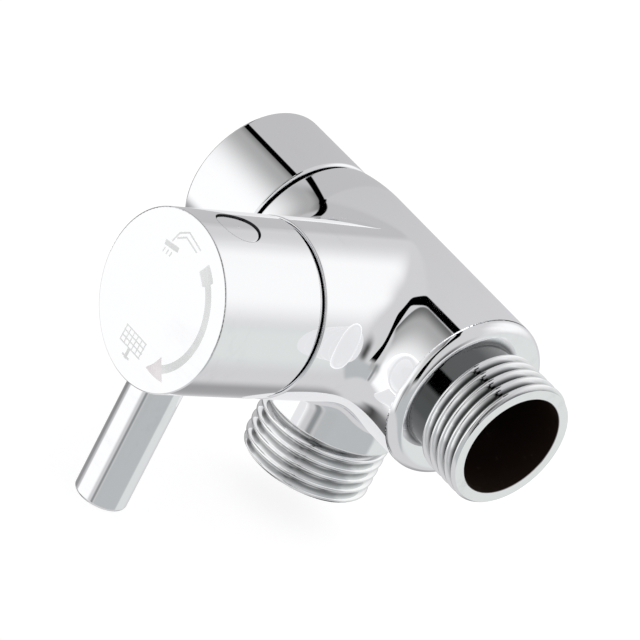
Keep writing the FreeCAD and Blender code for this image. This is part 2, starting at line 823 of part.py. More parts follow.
# Knob and lever
def make_knob():
    """Turned knob: skirt recess and spindle bore behind, lever socket below, plug hole above."""
    piece = new_piece("knob", ALONG_KNOB)
    turn(piece, "XZ_Plane", "V_Axis", [
        (knob_recess_radius, knob_start),
        (knob_radius, knob_start),
        (knob_radius, knob_face),
        (0, knob_face),
        (0, knob_bore_end),
        (spindle_radius + close_fit, knob_bore_end),
        (spindle_radius + close_fit, recess_end),
        (knob_recess_radius, recess_end),
    ])
    round_ring(piece, "Fillet", knob_edge_break, UP, (knob_radius, knob_face))
    round_ring(piece, "Fillet", edge_break, UP, (knob_radius, knob_start))
    socket_floor = knob_radius - lever_socket_depth
    drill(
        piece, "YZ_Plane", -socket_floor, 0, lever_place, socket_radius,
        lever_socket_depth * 2, False,
    )
    stud_hole_end = lever_stud_end - loose_fit
    drill(
        piece, "YZ_Plane", -stud_hole_end, 0, lever_place, lever_stud_radius + close_fit,
        socket_floor - stud_hole_end + loose_fit, False,
    )
    plug_seat = plug_top - plug_thickness
    drill(
        piece, "YZ_Plane", plug_seat, 0, lever_place, plug_radius + close_fit,
        knob_radius - plug_seat + loose_fit, True,
    )
    drill(
        piece, "YZ_Plane", 0, 0, lever_place, set_screw_radius + close_fit,
        plug_seat + loose_fit, True,
    )
    return piece


def make_lever_rod():
    """Plain rod with a screwed stud at its knob end."""
    piece = new_piece("lever_rod", ACROSS_KNOB)
    shoulder = knob_radius - lever_socket_depth
    turn(piece, "XZ_Plane", "V_Axis", [
        (0, -lever_end),
        (lever_radius, -lever_end),
        (lever_radius, -shoulder),
        (lever_stud_radius, -shoulder),
        (lever_stud_radius, -lever_stud_end),
        (0, -lever_stud_end),
    ])
    round_ring(piece, "Fillet", lever_end_round, UP, (lever_radius, -lever_end))
    return piece


def make_hole_plug():
    """Plug whose top follows the knob's curve, with a softened rim."""
    start = plug_top - plug_thickness
    piece = make_ring("hole_plug", ACROSS_KNOB, 0, plug_radius, start, plug_thickness + loose_fit)
    reach = plug_radius + loose_fit
    turn(piece, "XZ_Plane", "H_Axis", [
        (-reach, plug_top),
        (reach, plug_top),
        (reach, plug_top + plug_radius),
        (-reach, plug_top + plug_radius),
    ], False)
    round_junctions(piece, plug_edge_round, plug_radius, UP)
    return piece


def make_set_screw():
    """Headless screw with a six-sided socket."""
    piece = new_piece("set_screw", ACROSS_KNOB)
    start = spindle_radius - spindle_flat_depth
    end = start + set_screw_length
    turn(piece, "XZ_Plane", "V_Axis", [
        (0, start),
        (set_screw_radius, start),
        (set_screw_radius, end),
        (0, end),
    ])
    round_ring(piece, "Chamfer", edge_break, UP, (set_screw_radius, start))
    corner = hex_socket_width / math.sqrt(3)
    sketch = new_sketch(piece, "XY_Plane", end)
    turns = [math.radians(60 * i) for i in range(6)]
    draw_outline(sketch, [(corner * math.cos(a), corner * math.sin(a)) for a in turns])
    push(piece, sketch, hex_socket_depth, False)
    return piece


# All pieces
snap_ring_inside = snap_groove_radius + running_fit
clip_inside = clip_groove_radius + running_fit
clip_start = neck_end + loose_fit + close_fit
spindle_ring_radius = spindle_hole_radius + o_ring_section
housing_ring_radius = chamber_radius - close_fit - o_ring_section
slide_ring_start = bonnet_end - slide_ring_length

pieces = [
    make_valve_body(),
    make_inlet_nut(),
    make_split_ring(
        "nut_snap_ring", ALONG_INLET, snap_ring_inside, snap_ring_radius, snap_ring_start,
        snap_ring_thickness, snap_ring_gap,
    ),
    make_ring(
        "inlet_washer", ALONG_INLET, washer_hole_radius, washer_radius, spigot_end,
        washer_thickness,
    ),
    make_filter_screen(),
    make_cartridge_housing(),
    make_o_ring("housing_o_ring", ALONG_KNOB, housing_ring_radius, housing_ring_place),
    make_base_seal(),
    make_fixed_disc(),
    make_moving_disc(),
    make_disc_carrier(),
    make_spindle(),
    make_o_ring("spindle_o_ring_inner", ALONG_KNOB, spindle_ring_radius, inner_ring_place),
    make_o_ring("spindle_o_ring_outer", ALONG_KNOB, spindle_ring_radius, outer_ring_place),
    make_ring(
        "friction_washer", ALONG_KNOB, spindle_hole_radius, foot_radius, friction_start,
        friction_washer_thickness,
    ),
    make_split_ring(
        "spindle_clip", ALONG_KNOB, clip_inside, clip_radius, clip_start, clip_thickness, clip_gap
    ),
    make_bonnet_nut(),
    make_ring(
        "slide_ring", ALONG_KNOB, bonnet_collar_radius + close_fit, slide_ring_radius,
        slide_ring_start, slide_ring_length,
    ),
    make_knob(),
    make_lever_rod(),
    make_hole_plug(),
    make_set_screw(),
]

doc.recompute()
failed = [o.Name for o in doc.Objects if "Invalid" in o.State or "Error" in o.State]
failed += [p.Label for p in pieces if p.Shape.isNull() or not p.Shape.isValid()]
failed += [p.Label for p in pieces if len(p.Shape.Solids) != 1]
if failed:
    raise RuntimeError(f"not built: {failed}")
for piece in pieces:
    piece.Shape.exportStep(f"parts/{piece.Label}.step")
    print(f"{piece.Label}: {piece.Shape.Volume:.1f} mm3")
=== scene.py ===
# %% [markdown]
# # A chrome shower diverter valve
# This lesson dresses a ready solid model of a small bathroom valve: a tube with a swivel nut
# behind, a threaded outlet in front, another below, and a round knob with a rod lever at its side.
# Almost all of it is polished chrome, which has no colour of its own. What you see on it is the
# room, so the lesson spends its care on three things: the soft panels around the valve, the exact
# curve of every surface, and the small signs of making that a mirror finish still shows.

import json
import math

import bmesh
import bpy
import numpy as np
from mathutils import Matrix, Vector


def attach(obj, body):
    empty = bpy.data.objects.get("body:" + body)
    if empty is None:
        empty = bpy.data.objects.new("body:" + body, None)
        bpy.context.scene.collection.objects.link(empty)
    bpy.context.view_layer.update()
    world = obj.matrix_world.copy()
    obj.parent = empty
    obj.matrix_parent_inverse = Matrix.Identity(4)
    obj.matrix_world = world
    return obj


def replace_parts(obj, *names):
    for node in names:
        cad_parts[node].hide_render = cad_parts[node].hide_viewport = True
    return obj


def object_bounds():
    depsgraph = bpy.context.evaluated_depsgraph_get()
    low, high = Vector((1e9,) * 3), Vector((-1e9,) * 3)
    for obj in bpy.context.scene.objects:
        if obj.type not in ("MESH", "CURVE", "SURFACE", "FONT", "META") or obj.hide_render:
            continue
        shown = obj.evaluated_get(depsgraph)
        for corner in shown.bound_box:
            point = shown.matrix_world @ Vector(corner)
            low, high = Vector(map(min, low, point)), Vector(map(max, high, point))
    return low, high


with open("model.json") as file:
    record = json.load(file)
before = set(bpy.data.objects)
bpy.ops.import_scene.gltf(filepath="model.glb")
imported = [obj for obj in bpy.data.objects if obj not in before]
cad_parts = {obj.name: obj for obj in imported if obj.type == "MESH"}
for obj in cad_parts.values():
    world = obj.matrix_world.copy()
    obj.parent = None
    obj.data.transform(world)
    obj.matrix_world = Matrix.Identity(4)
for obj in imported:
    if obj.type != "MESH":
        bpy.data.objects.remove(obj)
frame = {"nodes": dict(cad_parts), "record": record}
cad_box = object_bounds()
scene = bpy.context.scene
turning = {joint["name"]: joint for joint in frame["record"]["behaviour"]["joints"]}
CENTRE = Vector((0.0, turning["handle_turn"]["pos_m"][1], 0.0))
print("solids:", len(frame["nodes"]), "box:", [[round(v, 4) for v in corner] for corner in cad_box])

# %% [markdown]
# ## The camera
# A product photograph of something this small is taken from a distance with a long lens, so that
# its near and far ends look the same size. The three directions below are the camera's right, up
# and back. A camera in Blender looks along its own -Z, so `BACK` becomes its Z axis.

# %% Camera
RIGHT = Vector((0.71395, -0.55169, 0.43118))
UP = Vector((-0.04461, 0.57870, 0.81432))
BACK = Vector((-0.69877, -0.60062, 0.38856))
lens = bpy.data.cameras.new("long_lens")
lens.lens = 225
lens.sensor_width = 36
lens.clip_start = 0.01
lens.clip_end = 10
camera = bpy.data.objects.new("camera", lens)
place = CENTRE - 0.00953 * RIGHT - 0.00082 * UP + 0.5995 * BACK
camera.matrix_world = Matrix.Translation(place) @ Matrix((RIGHT, UP, BACK)).transposed().to_4x4()
scene.collection.objects.link(camera)
scene.camera = camera
scene.view_settings.view_transform = "Standard"
print("camera stands", round(place.length, 3), "m away")

# %% [markdown]
# ## Small helpers for node trees
# Every shader here is a graph of nodes. Four helpers keep the cells short: `feed` connects a
# socket or writes a plain number into it, `calc` adds a Math node, `ramp` adds a smooth step from
# 0 to 1, and `blend` mixes two tones by a mask.

# %% Node helpers
def feed(tree, socket, value):
    """Connect another socket, or write a plain value."""
    if isinstance(value, bpy.types.NodeSocket):
        tree.links.new(value, socket)
    else:
        socket.default_value = value


def calc(tree, operation, *values):
    """A Math node, and its result."""
    node = tree.nodes.new("ShaderNodeMath")
    node.operation = operation
    for socket, value in zip(node.inputs, values):
        feed(tree, socket, value)
    return node.outputs[0]


def ramp(tree, value, low, high, start=0.0, end=1.0):
    """A smooth rise from start at low to end at high."""
    node = tree.nodes.new("ShaderNodeMapRange")
    node.interpolation_type = "SMOOTHSTEP"
    for name, given in (("Value", value), ("From Min", low), ("From Max", high),
                        ("To Min", start), ("To Max", end)):
        feed(tree, node.inputs[name], given)
    return node.outputs["Result"]


def blend(tree, mask, first, second):
    """The first colour where the mask is 0, and the second where it is 1."""
    node = tree.nodes.new("ShaderNodeMix")
    node.data_type = "RGBA"
    feed(tree, node.inputs["Factor"], mask)
    feed(tree, node.inputs["A"], first)
    feed(tree, node.inputs["B"], second)
    return node.outputs["Result"]


# %% [markdown]
# ## The studio
# Chrome needs big, soft, simple shapes to mirror. A real studio hangs white boxes and grey cards
# around the object, and leaves thin gaps between them, which draw the crisp black lines on a
# tube. Lamps with area would do it too, but a world shader gives the same panels with no noise,
# so each panel is a soft-edged patch of the sky here. A panel has a brightness, a tint, a bearing
# and a height in degrees, and its half sizes. Bearing 0 is +X and 90 is +Y.

# %% World: directions
world = bpy.data.worlds.new("studio")
world.use_nodes = True
scene.world = world
sky = world.node_tree
sky.nodes.clear()
toward = sky.nodes.new("ShaderNodeSeparateXYZ")
sky.links.new(sky.nodes.new("ShaderNodeTexCoord").outputs["Generated"], toward.inputs[0])
east, north, above = toward.outputs
DEGREE = math.pi / 180
height = calc(sky, "DIVIDE", calc(sky, "ARCSINE", above), DEGREE)


def turned_from(bearing):
    """Degrees between the ray and a bearing, seen from above."""
    c, s = math.cos(bearing * DEGREE), math.sin(bearing * DEGREE)
    along = calc(sky, "ADD", calc(sky, "MULTIPLY", east, c), calc(sky, "MULTIPLY", north, s))
    aside = calc(sky, "SUBTRACT", calc(sky, "MULTIPLY", north, c), calc(sky, "MULTIPLY", east, s))
    return calc(sky, "ABSOLUTE", calc(sky, "DIVIDE", calc(sky, "ARCTAN2", aside, along), DEGREE))


def patch(bearing, middle, half_width, half_height, soft):
    """A mask that is 1 inside the patch and fades over soft degrees."""
    wide = ramp(sky, turned_from(bearing), half_width - soft / 2, half_width + soft / 2, 1, 0)
    off = calc(sky, "ABSOLUTE", calc(sky, "SUBTRACT", height, middle))
    tall = ramp(sky, off, half_height - soft / 2, half_height + soft / 2, 1, 0)
    return calc(sky, "MULTIPLY", wide, tall)


# %% World: the panels
LAVENDER = (0.985, 0.98, 1.0)
COOL = (0.95, 0.985, 1.0)
GREEN = (0.965, 1.0, 0.985)
WHITE = (1.0, 1.0, 1.0)
PANELS = [
    ("box over the right shoulder", 1.02, WHITE, -16, 36, 36, 24, 34),
    ("card low on the right", 0.78, GREEN, -28, -12, 30, 18, 18),
    ("gap below the right card", 0.36, LAVENDER, 16, -47, 24, 10, 22),
    ("gap behind and below", 0.05, WHITE, 86, -58, 34, 8, 20),
    ("gap behind", 0.20, WHITE, 80, -15, 20, 14, 20),
    ("pale room at the front left", 0.66, WHITE, -150, 16, 46, 30, 24),
    ("dark front", 0.08, WHITE, -84, 2, 12, 16, 24),
    ("card low at the front", 0.52, COOL, -100, -30, 50, 16, 10),
    ("strip at the front left", 0.45, WHITE, -150, -14, 22, 8, 12),
]


def tinted(level, tint):
    return (*(level * part for part in tint), 1)


light = blend(sky, ramp(sky, north, 0.55, 0.64), tinted(0.68, LAVENDER), tinted(0.55, LAVENDER))
for name, level, tint, *where in PANELS:
    light = blend(sky, patch(*where), light, tinted(level, tint))
print("panels:", len(PANELS))

# %% [markdown]
# The left side is one long box. Its brightness climbs from the gap at its edge to full white far
# left, which gives the tube its soft fade from dark grey to white. The distance from the gap is
# measured as a lean: the dot product of the ray with the direction square to the gap. The boxes
# stand at an angle to each other, so the middle of the gap wanders and its width grows to the
# front. Both are stretches of a ramp over `north`, and the gap's foot drops towards the front too.

# %% World: the long box at the left and the black gap beside it
GAP_NORMAL = (0.711, -0.418, 0.567)
lean = calc(sky, "MULTIPLY", east, GAP_NORMAL[0])
lean = calc(sky, "ADD", lean, calc(sky, "MULTIPLY", north, GAP_NORMAL[1]))
lean = calc(sky, "ADD", lean, calc(sky, "MULTIPLY", above, GAP_NORMAL[2]))
near_gap = ramp(sky, lean, -0.16, 0.04, 0.42, 0.14)
fade = ramp(sky, lean, -0.80, -0.16, 1.0, 0.0)
climb = calc(sky, "ADD", near_gap, calc(sky, "MULTIPLY", fade, 0.62))
long_box = patch(142, 34, 44, 46, 14)
long_box = calc(sky, "MULTIPLY", long_box, ramp(sky, lean, 0.03, 0.06, 1, 0))
climbing = sky.nodes.new("ShaderNodeCombineColor")
for socket in climbing.inputs:
    feed(sky, socket, climb)
light = blend(sky, long_box, light, climbing.outputs[0])
light = blend(sky, patch(149, -21, 34, 22, 12), light, tinted(1.06, WHITE))
light = blend(sky, patch(-158, -26, 5, 18, 7), light, tinted(0.30, COOL))
middle = calc(sky, "ADD", ramp(sky, north, 0.565, 0.625, 0.12, 0.012),
              ramp(sky, north, 0.3, 0.565, 0.12, 0))
middle = calc(sky, "ADD", middle, ramp(sky, north, -0.62, -0.05, -0.44, 0))
half_gap = calc(sky, "ADD", ramp(sky, north, 0.565, 0.625, 0.052, 0.034),
                ramp(sky, north, -0.4, 0.4, 0.15, 0))
from_middle = calc(sky, "ABSOLUTE", calc(sky, "SUBTRACT", lean, middle))
from_gap = calc(sky, "SUBTRACT", from_middle, half_gap)
above_foot = calc(sky, "ADD", height, ramp(sky, north, -0.3, 0.3, 25, 0))
gap = calc(sky, "MULTIPLY", ramp(sky, from_gap, 0, 0.014, 1, 0), ramp(sky, above_foot, 14, 26))
light = blend(sky, gap, light, tinted(0.0, WHITE))

# %% [markdown]
# The camera sees a plain white world behind the valve. Light Path tells a camera ray from a
# reflected one, so the white backdrop costs the chrome nothing.

# %% World: output
rays = sky.nodes.new("ShaderNodeLightPath")
shown = blend(sky, rays.outputs["Is Camera Ray"], light, (1, 1, 1, 1))
background = sky.nodes.new("ShaderNodeBackground")
sky.links.new(shown, background.inputs["Color"])
sky_end = sky.nodes.new("ShaderNodeOutputWorld")
sky.links.new(background.outputs[0], sky_end.inputs["Surface"])
print("world nodes:", len(sky.nodes))

# %% [markdown]
# ## The table
# The valve hangs over a sheet of white paper, just under the lever's end. The paper is bright to
# the camera, and keeps a faint soft shadow. It is left out of reflections, because the studio
# below the valve is already part of the world.

# %% Table
FLOOR_Z = cad_box[0][2] - 0.0002
sheet = bpy.data.meshes.new("paper")
sheet.from_pydata([(-2, -2, FLOOR_Z), (2, -2, FLOOR_Z), (2, 2, FLOOR_Z), (-2, 2, FLOOR_Z)],
                  [], [(0, 1, 2, 3)])
table = bpy.data.objects.new("table", sheet)
table.visible_glossy = False
scene.collection.objects.link(table)
paper = bpy.data.materials.new("white_paper")
paper.use_nodes = True
tree = paper.node_tree
coat = tree.nodes["Principled BSDF"]
coat.inputs["Base Color"].default_value = (0.36, 0.36, 0.36, 1)
coat.inputs["Roughness"].default_value = 1
coat.inputs["Specular IOR Level"].default_value = 0
coat.inputs["Emission Color"].default_value = (1, 1, 1, 1)
seen = tree.nodes.new("ShaderNodeLightPath").outputs["Is Camera Ray"]
feed(tree, coat.inputs["Emission Strength"], calc(tree, "MULTIPLY", seen, 0.83))
sheet.materials.append(paper)
print("table height:", round(FLOOR_Z * 1000, 1), "mm")

# %% [markdown]
# ## Shared surface effects
# Three effects turn up on more than one finish, so each is a node group with named sockets.
# - `hand_polish`: chrome is polished by hand on a soft wheel. That leaves slow waves, which bend a
#   mirrored line a little, and a faint haze of wipe marks, which only changes the roughness.
# - `tool_lines`: a lathe leaves fine rings around the axis that it turned, and a slight band of
#   lighter and darker rings.
# - `grain`: the fine pimples of moulded rubber and plastic, or the crystals of a ceramic, with a
#   broad unevenness of colour.
# A group puts out masks and heights only. The shader itself stays in each material.

# %% Group builder
def start_group(name, inputs, outputs):
    """A node group with named sockets, and its two end nodes."""
    group = bpy.data.node_groups.new(name, "ShaderNodeTree")
    for title, kind, value in inputs:
        socket = group.interface.new_socket(title, in_out="INPUT", socket_type=kind)
        if value is not None:
            socket.default_value = value
    for title in outputs:
        group.interface.new_socket(title, in_out="OUTPUT", socket_type="NodeSocketFloat")
    ends = group.nodes.new("NodeGroupInput"), group.nodes.new("NodeGroupOutput")
    return group, ends[0].outputs, ends[1].inputs


def add_noise(tree, vector, scale, detail=2.0, rough=0.5):
    """A noise texture's value, 0 to 1."""
    noise = tree.nodes.new("ShaderNodeTexNoise")
    feed(tree, noise.inputs["Vector"], vector)
    feed(tree, noise.inputs["Scale"], scale)
    noise.inputs["Detail"].default_value = detail
    noise.inputs["Roughness"].default_value = rough
    return noise.outputs["Fac"]


# %% Group: hand polish
hand_polish, given, out = start_group(
    "hand_polish",
    [("Vector", "NodeSocketVector", None), ("Wave Scale", "NodeSocketFloat", 90.0),
     ("Wipe Scale", "NodeSocketFloat", 420.0)],
    ["Waves", "Wipes", "Specks"],
)
feed(hand_polish, out["Waves"], add_noise(hand_polish, given["Vector"], given["Wave Scale"], 1.0))
stretch = hand_polish.nodes.new("ShaderNodeMapping")
stretch.inputs["Scale"].default_value = (1.0, 0.16, 0.6)
stretch.inputs["Rotation"].default_value = (0.4, 0.9, 0.2)
feed(hand_polish, stretch.inputs["Vector"], given["Vector"])
streaks = add_noise(hand_polish, stretch.outputs[0], given["Wipe Scale"], 6.0, 0.65)
broad = calc(hand_polish, "MULTIPLY", given["Wipe Scale"], 0.15)
clouds = add_noise(hand_polish, given["Vector"], broad, 3.0)
wiped = calc(hand_polish, "MULTIPLY", ramp(hand_polish, streaks, 0.46, 0.72),
             ramp(hand_polish, clouds, 0.42, 0.68))
feed(hand_polish, out["Wipes"], wiped)
drops = hand_polish.nodes.new("ShaderNodeTexVoronoi")
feed(hand_polish, drops.inputs["Vector"], given["Vector"])
feed(hand_polish, drops.inputs["Scale"], calc(hand_polish, "MULTIPLY", given["Wipe Scale"], 1.6))
speck = ramp(hand_polish, drops.outputs["Distance"], 0.05, 0.11, 1, 0)
specks = calc(hand_polish, "MULTIPLY", speck, ramp(hand_polish, clouds, 0.55, 0.7))
feed(hand_polish, out["Specks"], specks)

# %% Group: tool lines
tool_lines, given, out = start_group(
    "tool_lines",
    [("Radius", "NodeSocketFloat", 0.0), ("Along", "NodeSocketFloat", 0.0),
     ("Pitch", "NodeSocketFloat", 0.00012)],
    ["Rings", "Bands"],
)
walk = calc(tool_lines, "ADD", given["Radius"], given["Along"])
turns = calc(tool_lines, "DIVIDE", walk, given["Pitch"])
ripple = calc(tool_lines, "SINE", calc(tool_lines, "MULTIPLY", turns, 2 * math.pi))
feed(tool_lines, out["Rings"], calc(tool_lines, "MULTIPLY_ADD", ripple, 0.5, 0.5))
line_place = tool_lines.nodes.new("ShaderNodeCombineXYZ")
feed(tool_lines, line_place.inputs["X"], turns)
feed(tool_lines, out["Bands"], add_noise(tool_lines, line_place.outputs[0], 0.35, 4.0, 0.7))

# %% Group: grain
grain, given, out = start_group(
    "grain",
    [("Vector", "NodeSocketVector", None), ("Scale", "NodeSocketFloat", 2500.0)],
    ["Pimples", "Clouds", "Dust"],
)
feed(grain, out["Pimples"], add_noise(grain, given["Vector"], given["Scale"], 2.0, 0.6))
slow = calc(grain, "MULTIPLY", given["Scale"], 0.06)
feed(grain, out["Clouds"], add_noise(grain, given["Vector"], slow, 4.0))
dust = add_noise(grain, given["Vector"], calc(grain, "MULTIPLY", given["Scale"], 0.4), 5.0, 0.75)
feed(grain, out["Dust"], ramp(grain, dust, 0.60, 0.74))
print("groups:", [g.name for g in bpy.data.node_groups])

# %% [markdown]
# ## Finishes
# Each finish starts the same way: a Principled shader, the place on the object as texture
# coordinates, and one of the groups. `Object` coordinates are used because a solid's own space is
# the valve's space, so a ring pattern can be centred on any axis of the valve.

# %% Helpers for finishes
def start_finish(name, metallic, rough):
    """A material with its shader's plain values set, and the place on the object."""
    material = bpy.data.materials.new(name)
    material.use_nodes = True
    tree = material.node_tree
    shader = tree.nodes["Principled BSDF"]
    shader.inputs["Metallic"].default_value = metallic
    shader.inputs["Roughness"].default_value = rough
    return material, tree, shader, tree.nodes.new("ShaderNodeTexCoord").outputs["Object"]


def use_group(tree, group, **values):
    """One of the shared groups, with its inputs filled in; names use _ for a space."""
    node = tree.nodes.new("ShaderNodeGroup")
    node.node_tree = group
    for title, value in values.items():
        feed(tree, node.inputs[title.replace("_", " ")], value)
    return node.outputs


def add_bump(tree, shader, height_value, strength, distance, before=None):
    """Relief from a height, stacked on an earlier one if it is given."""
    bump = tree.nodes.new("ShaderNodeBump")
    bump.inputs["Strength"].default_value = strength
    bump.inputs["Distance"].default_value = distance
    feed(tree, bump.inputs["Height"], height_value)
    if before is not None:
        tree.links.new(before, bump.inputs["Normal"])
    tree.links.new(bump.outputs[0], shader.inputs["Normal"])
    return bump.outputs[0]


def about_axis(tree, place, axis, centre):
    """Distance from an axis of the valve through a point, and the place along it."""
    moved = tree.nodes.new("ShaderNodeVectorMath")
    moved.operation = "SUBTRACT"
    tree.links.new(place, moved.inputs[0])
    moved.inputs[1].default_value = centre
    parts = tree.nodes.new("ShaderNodeSeparateXYZ")
    tree.links.new(moved.outputs[0], parts.inputs[0])
    across = [parts.outputs[i] for i in range(3) if i != axis]
    squares = [calc(tree, "MULTIPLY", part, part) for part in across]
    return calc(tree, "SQRT", calc(tree, "ADD", *squares)), parts.outputs[axis]


# %% [markdown]
# ### Chrome
# Bright chrome plating mirrors about nine tenths of the light, and very slightly more of the
# blue. Its roughness is almost nothing, so all its life comes from the waves and the wipe marks
# of `hand_polish`. The waves are a fraction of a micrometre high: stronger ones would make the
# valve look cast and not turned.
# The parts of the valve don't show in each other's mirror. A mirrored ray that comes from farther
# than 6 mm sees a painted reflection: the finish turns black and glows a pale grey tone, while the
# flanks of a thread and the sides of a seam still mirror each other.

# %% Finish: chrome
GLOW_REACH = 0.006
GLOW_TONE = (0.84, 0.84, 0.855, 1)


def paint_reflection_glow(tree, shader, tone):
    """Painted reflection: a mirrored ray from farther than 6 mm sees this finish glow a pale grey."""
    path = tree.nodes.new("ShaderNodeLightPath")
    glowing = calc(tree, "MULTIPLY", path.outputs["Is Glossy Ray"],
                  calc(tree, "GREATER_THAN", path.outputs["Ray Length"], GLOW_REACH))
    shader.inputs["Emission Color"].default_value = GLOW_TONE
    return glowing, blend(tree, glowing, tone, (0, 0, 0, 1))


def make_chrome(name, wave_strength, haze):
    material, tree, shader, place = start_finish(name, 1.0, 0.03)
    polish = use_group(tree, hand_polish, Vector=place, Wave_Scale=90.0, Wipe_Scale=420.0)
    marks = calc(tree, "ADD", calc(tree, "MULTIPLY", polish["Wipes"], haze),
                 calc(tree, "MULTIPLY", polish["Specks"], haze * 0.8))
    feed(tree, shader.inputs["Roughness"], calc(tree, "ADD", marks, 0.022))
    tone = blend(tree, polish["Wipes"], (0.935, 0.94, 0.95, 1), (0.90, 0.905, 0.915, 1))
    # This mask is a painted reflection: there the chrome turns black and glows pale grey.
    card, tone = paint_reflection_glow(tree, shader, tone)
    feed(tree, shader.inputs["Emission Strength"], card)
    feed(tree, shader.inputs["Base Color"], tone)
    add_bump(tree, shader, polish["Waves"], wave_strength, 0.00001)
    return material


chrome = make_chrome("chrome", 0.35, 0.07)

# %% [markdown]
# Inside the outlets the plating thins out and ends, and the bare casting is brown with water
# scale, in a near-black tone that also paints the shade deep in the bore. A second chrome mixes
# the two by the distance from the outlet's axis: bright on the thread and the end face, dark a
# little way in. The roots of the thread are painted dark grey too: painted shade in its creases.

# %% Finish: the outlets, bright outside and dull brown inside, with painted shade
MM = 0.001
PLATED_FROM, ROOT_R = 8.42, 9.3155
FRONT_END, LOWER_END = 33.15, 27.9


def make_outlet_finish(name, axis, end, root_shade_depth):
    """Plated outside PLATED_FROM, with painted shade in the thread's roots up to just before the end.
    """
    material, tree, shader, place = start_finish(name, 1.0, 0.05)
    from_axis, along = about_axis(tree, place, axis, CENTRE)
    inside = ramp(tree, from_axis, (PLATED_FROM - 0.02) * MM, (PLATED_FROM + 0.12) * MM, 1, 0)
    lines = use_group(tree, tool_lines, Radius=from_axis, Along=along, Pitch=0.00023)
    polish = use_group(tree, hand_polish, Vector=place, Wave_Scale=160.0, Wipe_Scale=700.0)
    scale_marks = use_group(tree, grain, Vector=place, Scale=900.0)
    # Painted shade: the thread's roots go dark grey, deepest at the root and gone 0.9 mm above it.
    root = ramp(tree, from_axis, (ROOT_R + 0.1) * MM, (ROOT_R + 0.9) * MM, root_shade_depth, 0)
    before_end = ramp(tree, calc(tree, "ABSOLUTE", along), (end - 0.3) * MM, (end - 0.1) * MM, 1, 0)
    root = calc(tree, "MULTIPLY", root, before_end)
    plated = blend(tree, polish["Wipes"], (0.93, 0.935, 0.94, 1), (0.84, 0.86, 0.87, 1))
    plated = blend(tree, root, plated, (0.10, 0.105, 0.105, 1))
    # Bare casting with brown scale, in a near-black tone that is also painted shade deep in the bore.
    bare = blend(tree, scale_marks["Clouds"], (0.018, 0.009, 0.006, 1), (0.05, 0.028, 0.018, 1))
    bare = blend(tree, scale_marks["Dust"], bare, (0.10, 0.075, 0.06, 1))
    # This mask is a painted reflection: the plated part turns black and glows pale grey in other parts'
    # mirrors.
    card, plated = paint_reflection_glow(tree, shader, plated)
    outside = calc(tree, "SUBTRACT", 1.0, inside)
    feed(tree, shader.inputs["Emission Strength"], calc(tree, "MULTIPLY", card, outside))
    feed(tree, shader.inputs["Base Color"], blend(tree, inside, plated, bare))
    bright_rough = calc(tree, "MULTIPLY_ADD", polish["Wipes"], 0.16, 0.05)
    dull_rough = calc(tree, "MULTIPLY_ADD", lines["Bands"], 0.2, 0.42)
    rough = tree.nodes.new("ShaderNodeMix")
    for title, value in (("Factor", inside), ("A", bright_rough), ("B", dull_rough)):
        feed(tree, rough.inputs[title], value)
    feed(tree, shader.inputs["Roughness"], rough.outputs["Result"])
    feed(tree, shader.inputs["Metallic"], ramp(tree, inside, 0, 1, 1.0, 0.35))
    waves = add_bump(tree, shader, polish["Waves"], 0.5, 0.00003)
    add_bump(tree, shader, lines["Rings"], 0.25, 0.000004, waves)
    return material


front_finish = make_outlet_finish("plated_front_outlet", 1, FRONT_END, 0.93)
lower_finish = make_outlet_finish("plated_lower_outlet", 2, LOWER_END, 0.45)
print("outlet finishes end at", FRONT_END, "and", LOWER_END, "mm")

# %% [markdown]
# ### Brass, steel, rubber, ceramic and plastic
# The pieces inside are seen through the inlet, or when a piece is taken off. Bare brass and steel
# keep their tool lines, and the brass has darkened a little in patches. Rubber has a fine pimpled
# skin with pale dust, the ceramic discs are lapped almost smooth, and the plastics have the soft
# grain of a mould.

# %% Finishes: bare metals
def make_turned_metal(name, axis, light_tone, dark_tone, rough, pitch):
    material, tree, shader, place = start_finish(name, 1.0, rough)
    from_axis, along = about_axis(tree, place, axis, CENTRE)
    lines = use_group(tree, tool_lines, Radius=from_axis, Along=along, Pitch=pitch)
    stain = use_group(tree, grain, Vector=place, Scale=1500.0)
    tone = blend(tree, ramp(tree, stain["Clouds"], 0.42, 0.7), light_tone, dark_tone)
    feed(tree, shader.inputs["Base Color"], tone)
    feed(tree, shader.inputs["Roughness"], calc(tree, "MULTIPLY_ADD", lines["Bands"], 0.2, rough - 0.1))
    add_bump(tree, shader, lines["Rings"], 0.3, 0.00001)
    return material


brass = make_turned_metal("turned_brass", 0, (0.80, 0.60, 0.28, 1), (0.60, 0.40, 0.17, 1),
                          0.28, 0.00018)
stainless = make_turned_metal("bare_stainless", 1, (0.62, 0.62, 0.63, 1), (0.50, 0.50, 0.52, 1),
                              0.26, 0.00015)

# %% Finishes: rubber, ceramic and plastics
def make_moulded(name, tone, other, rough, scale, relief, dust_tone=None):
    material, tree, shader, place = start_finish(name, 0.0, rough)
    skin = use_group(tree, grain, Vector=place, Scale=scale)
    colour = blend(tree, skin["Clouds"], tone, other)
    if dust_tone:
        colour = blend(tree, calc(tree, "MULTIPLY", skin["Dust"], 0.5), colour, dust_tone)
    feed(tree, shader.inputs["Base Color"], colour)
    matt = calc(tree, "MULTIPLY_ADD", skin["Pimples"], 0.16, rough - 0.08)
    feed(tree, shader.inputs["Roughness"], matt)
    add_bump(tree, shader, skin["Pimples"], relief, 0.00003)
    return material


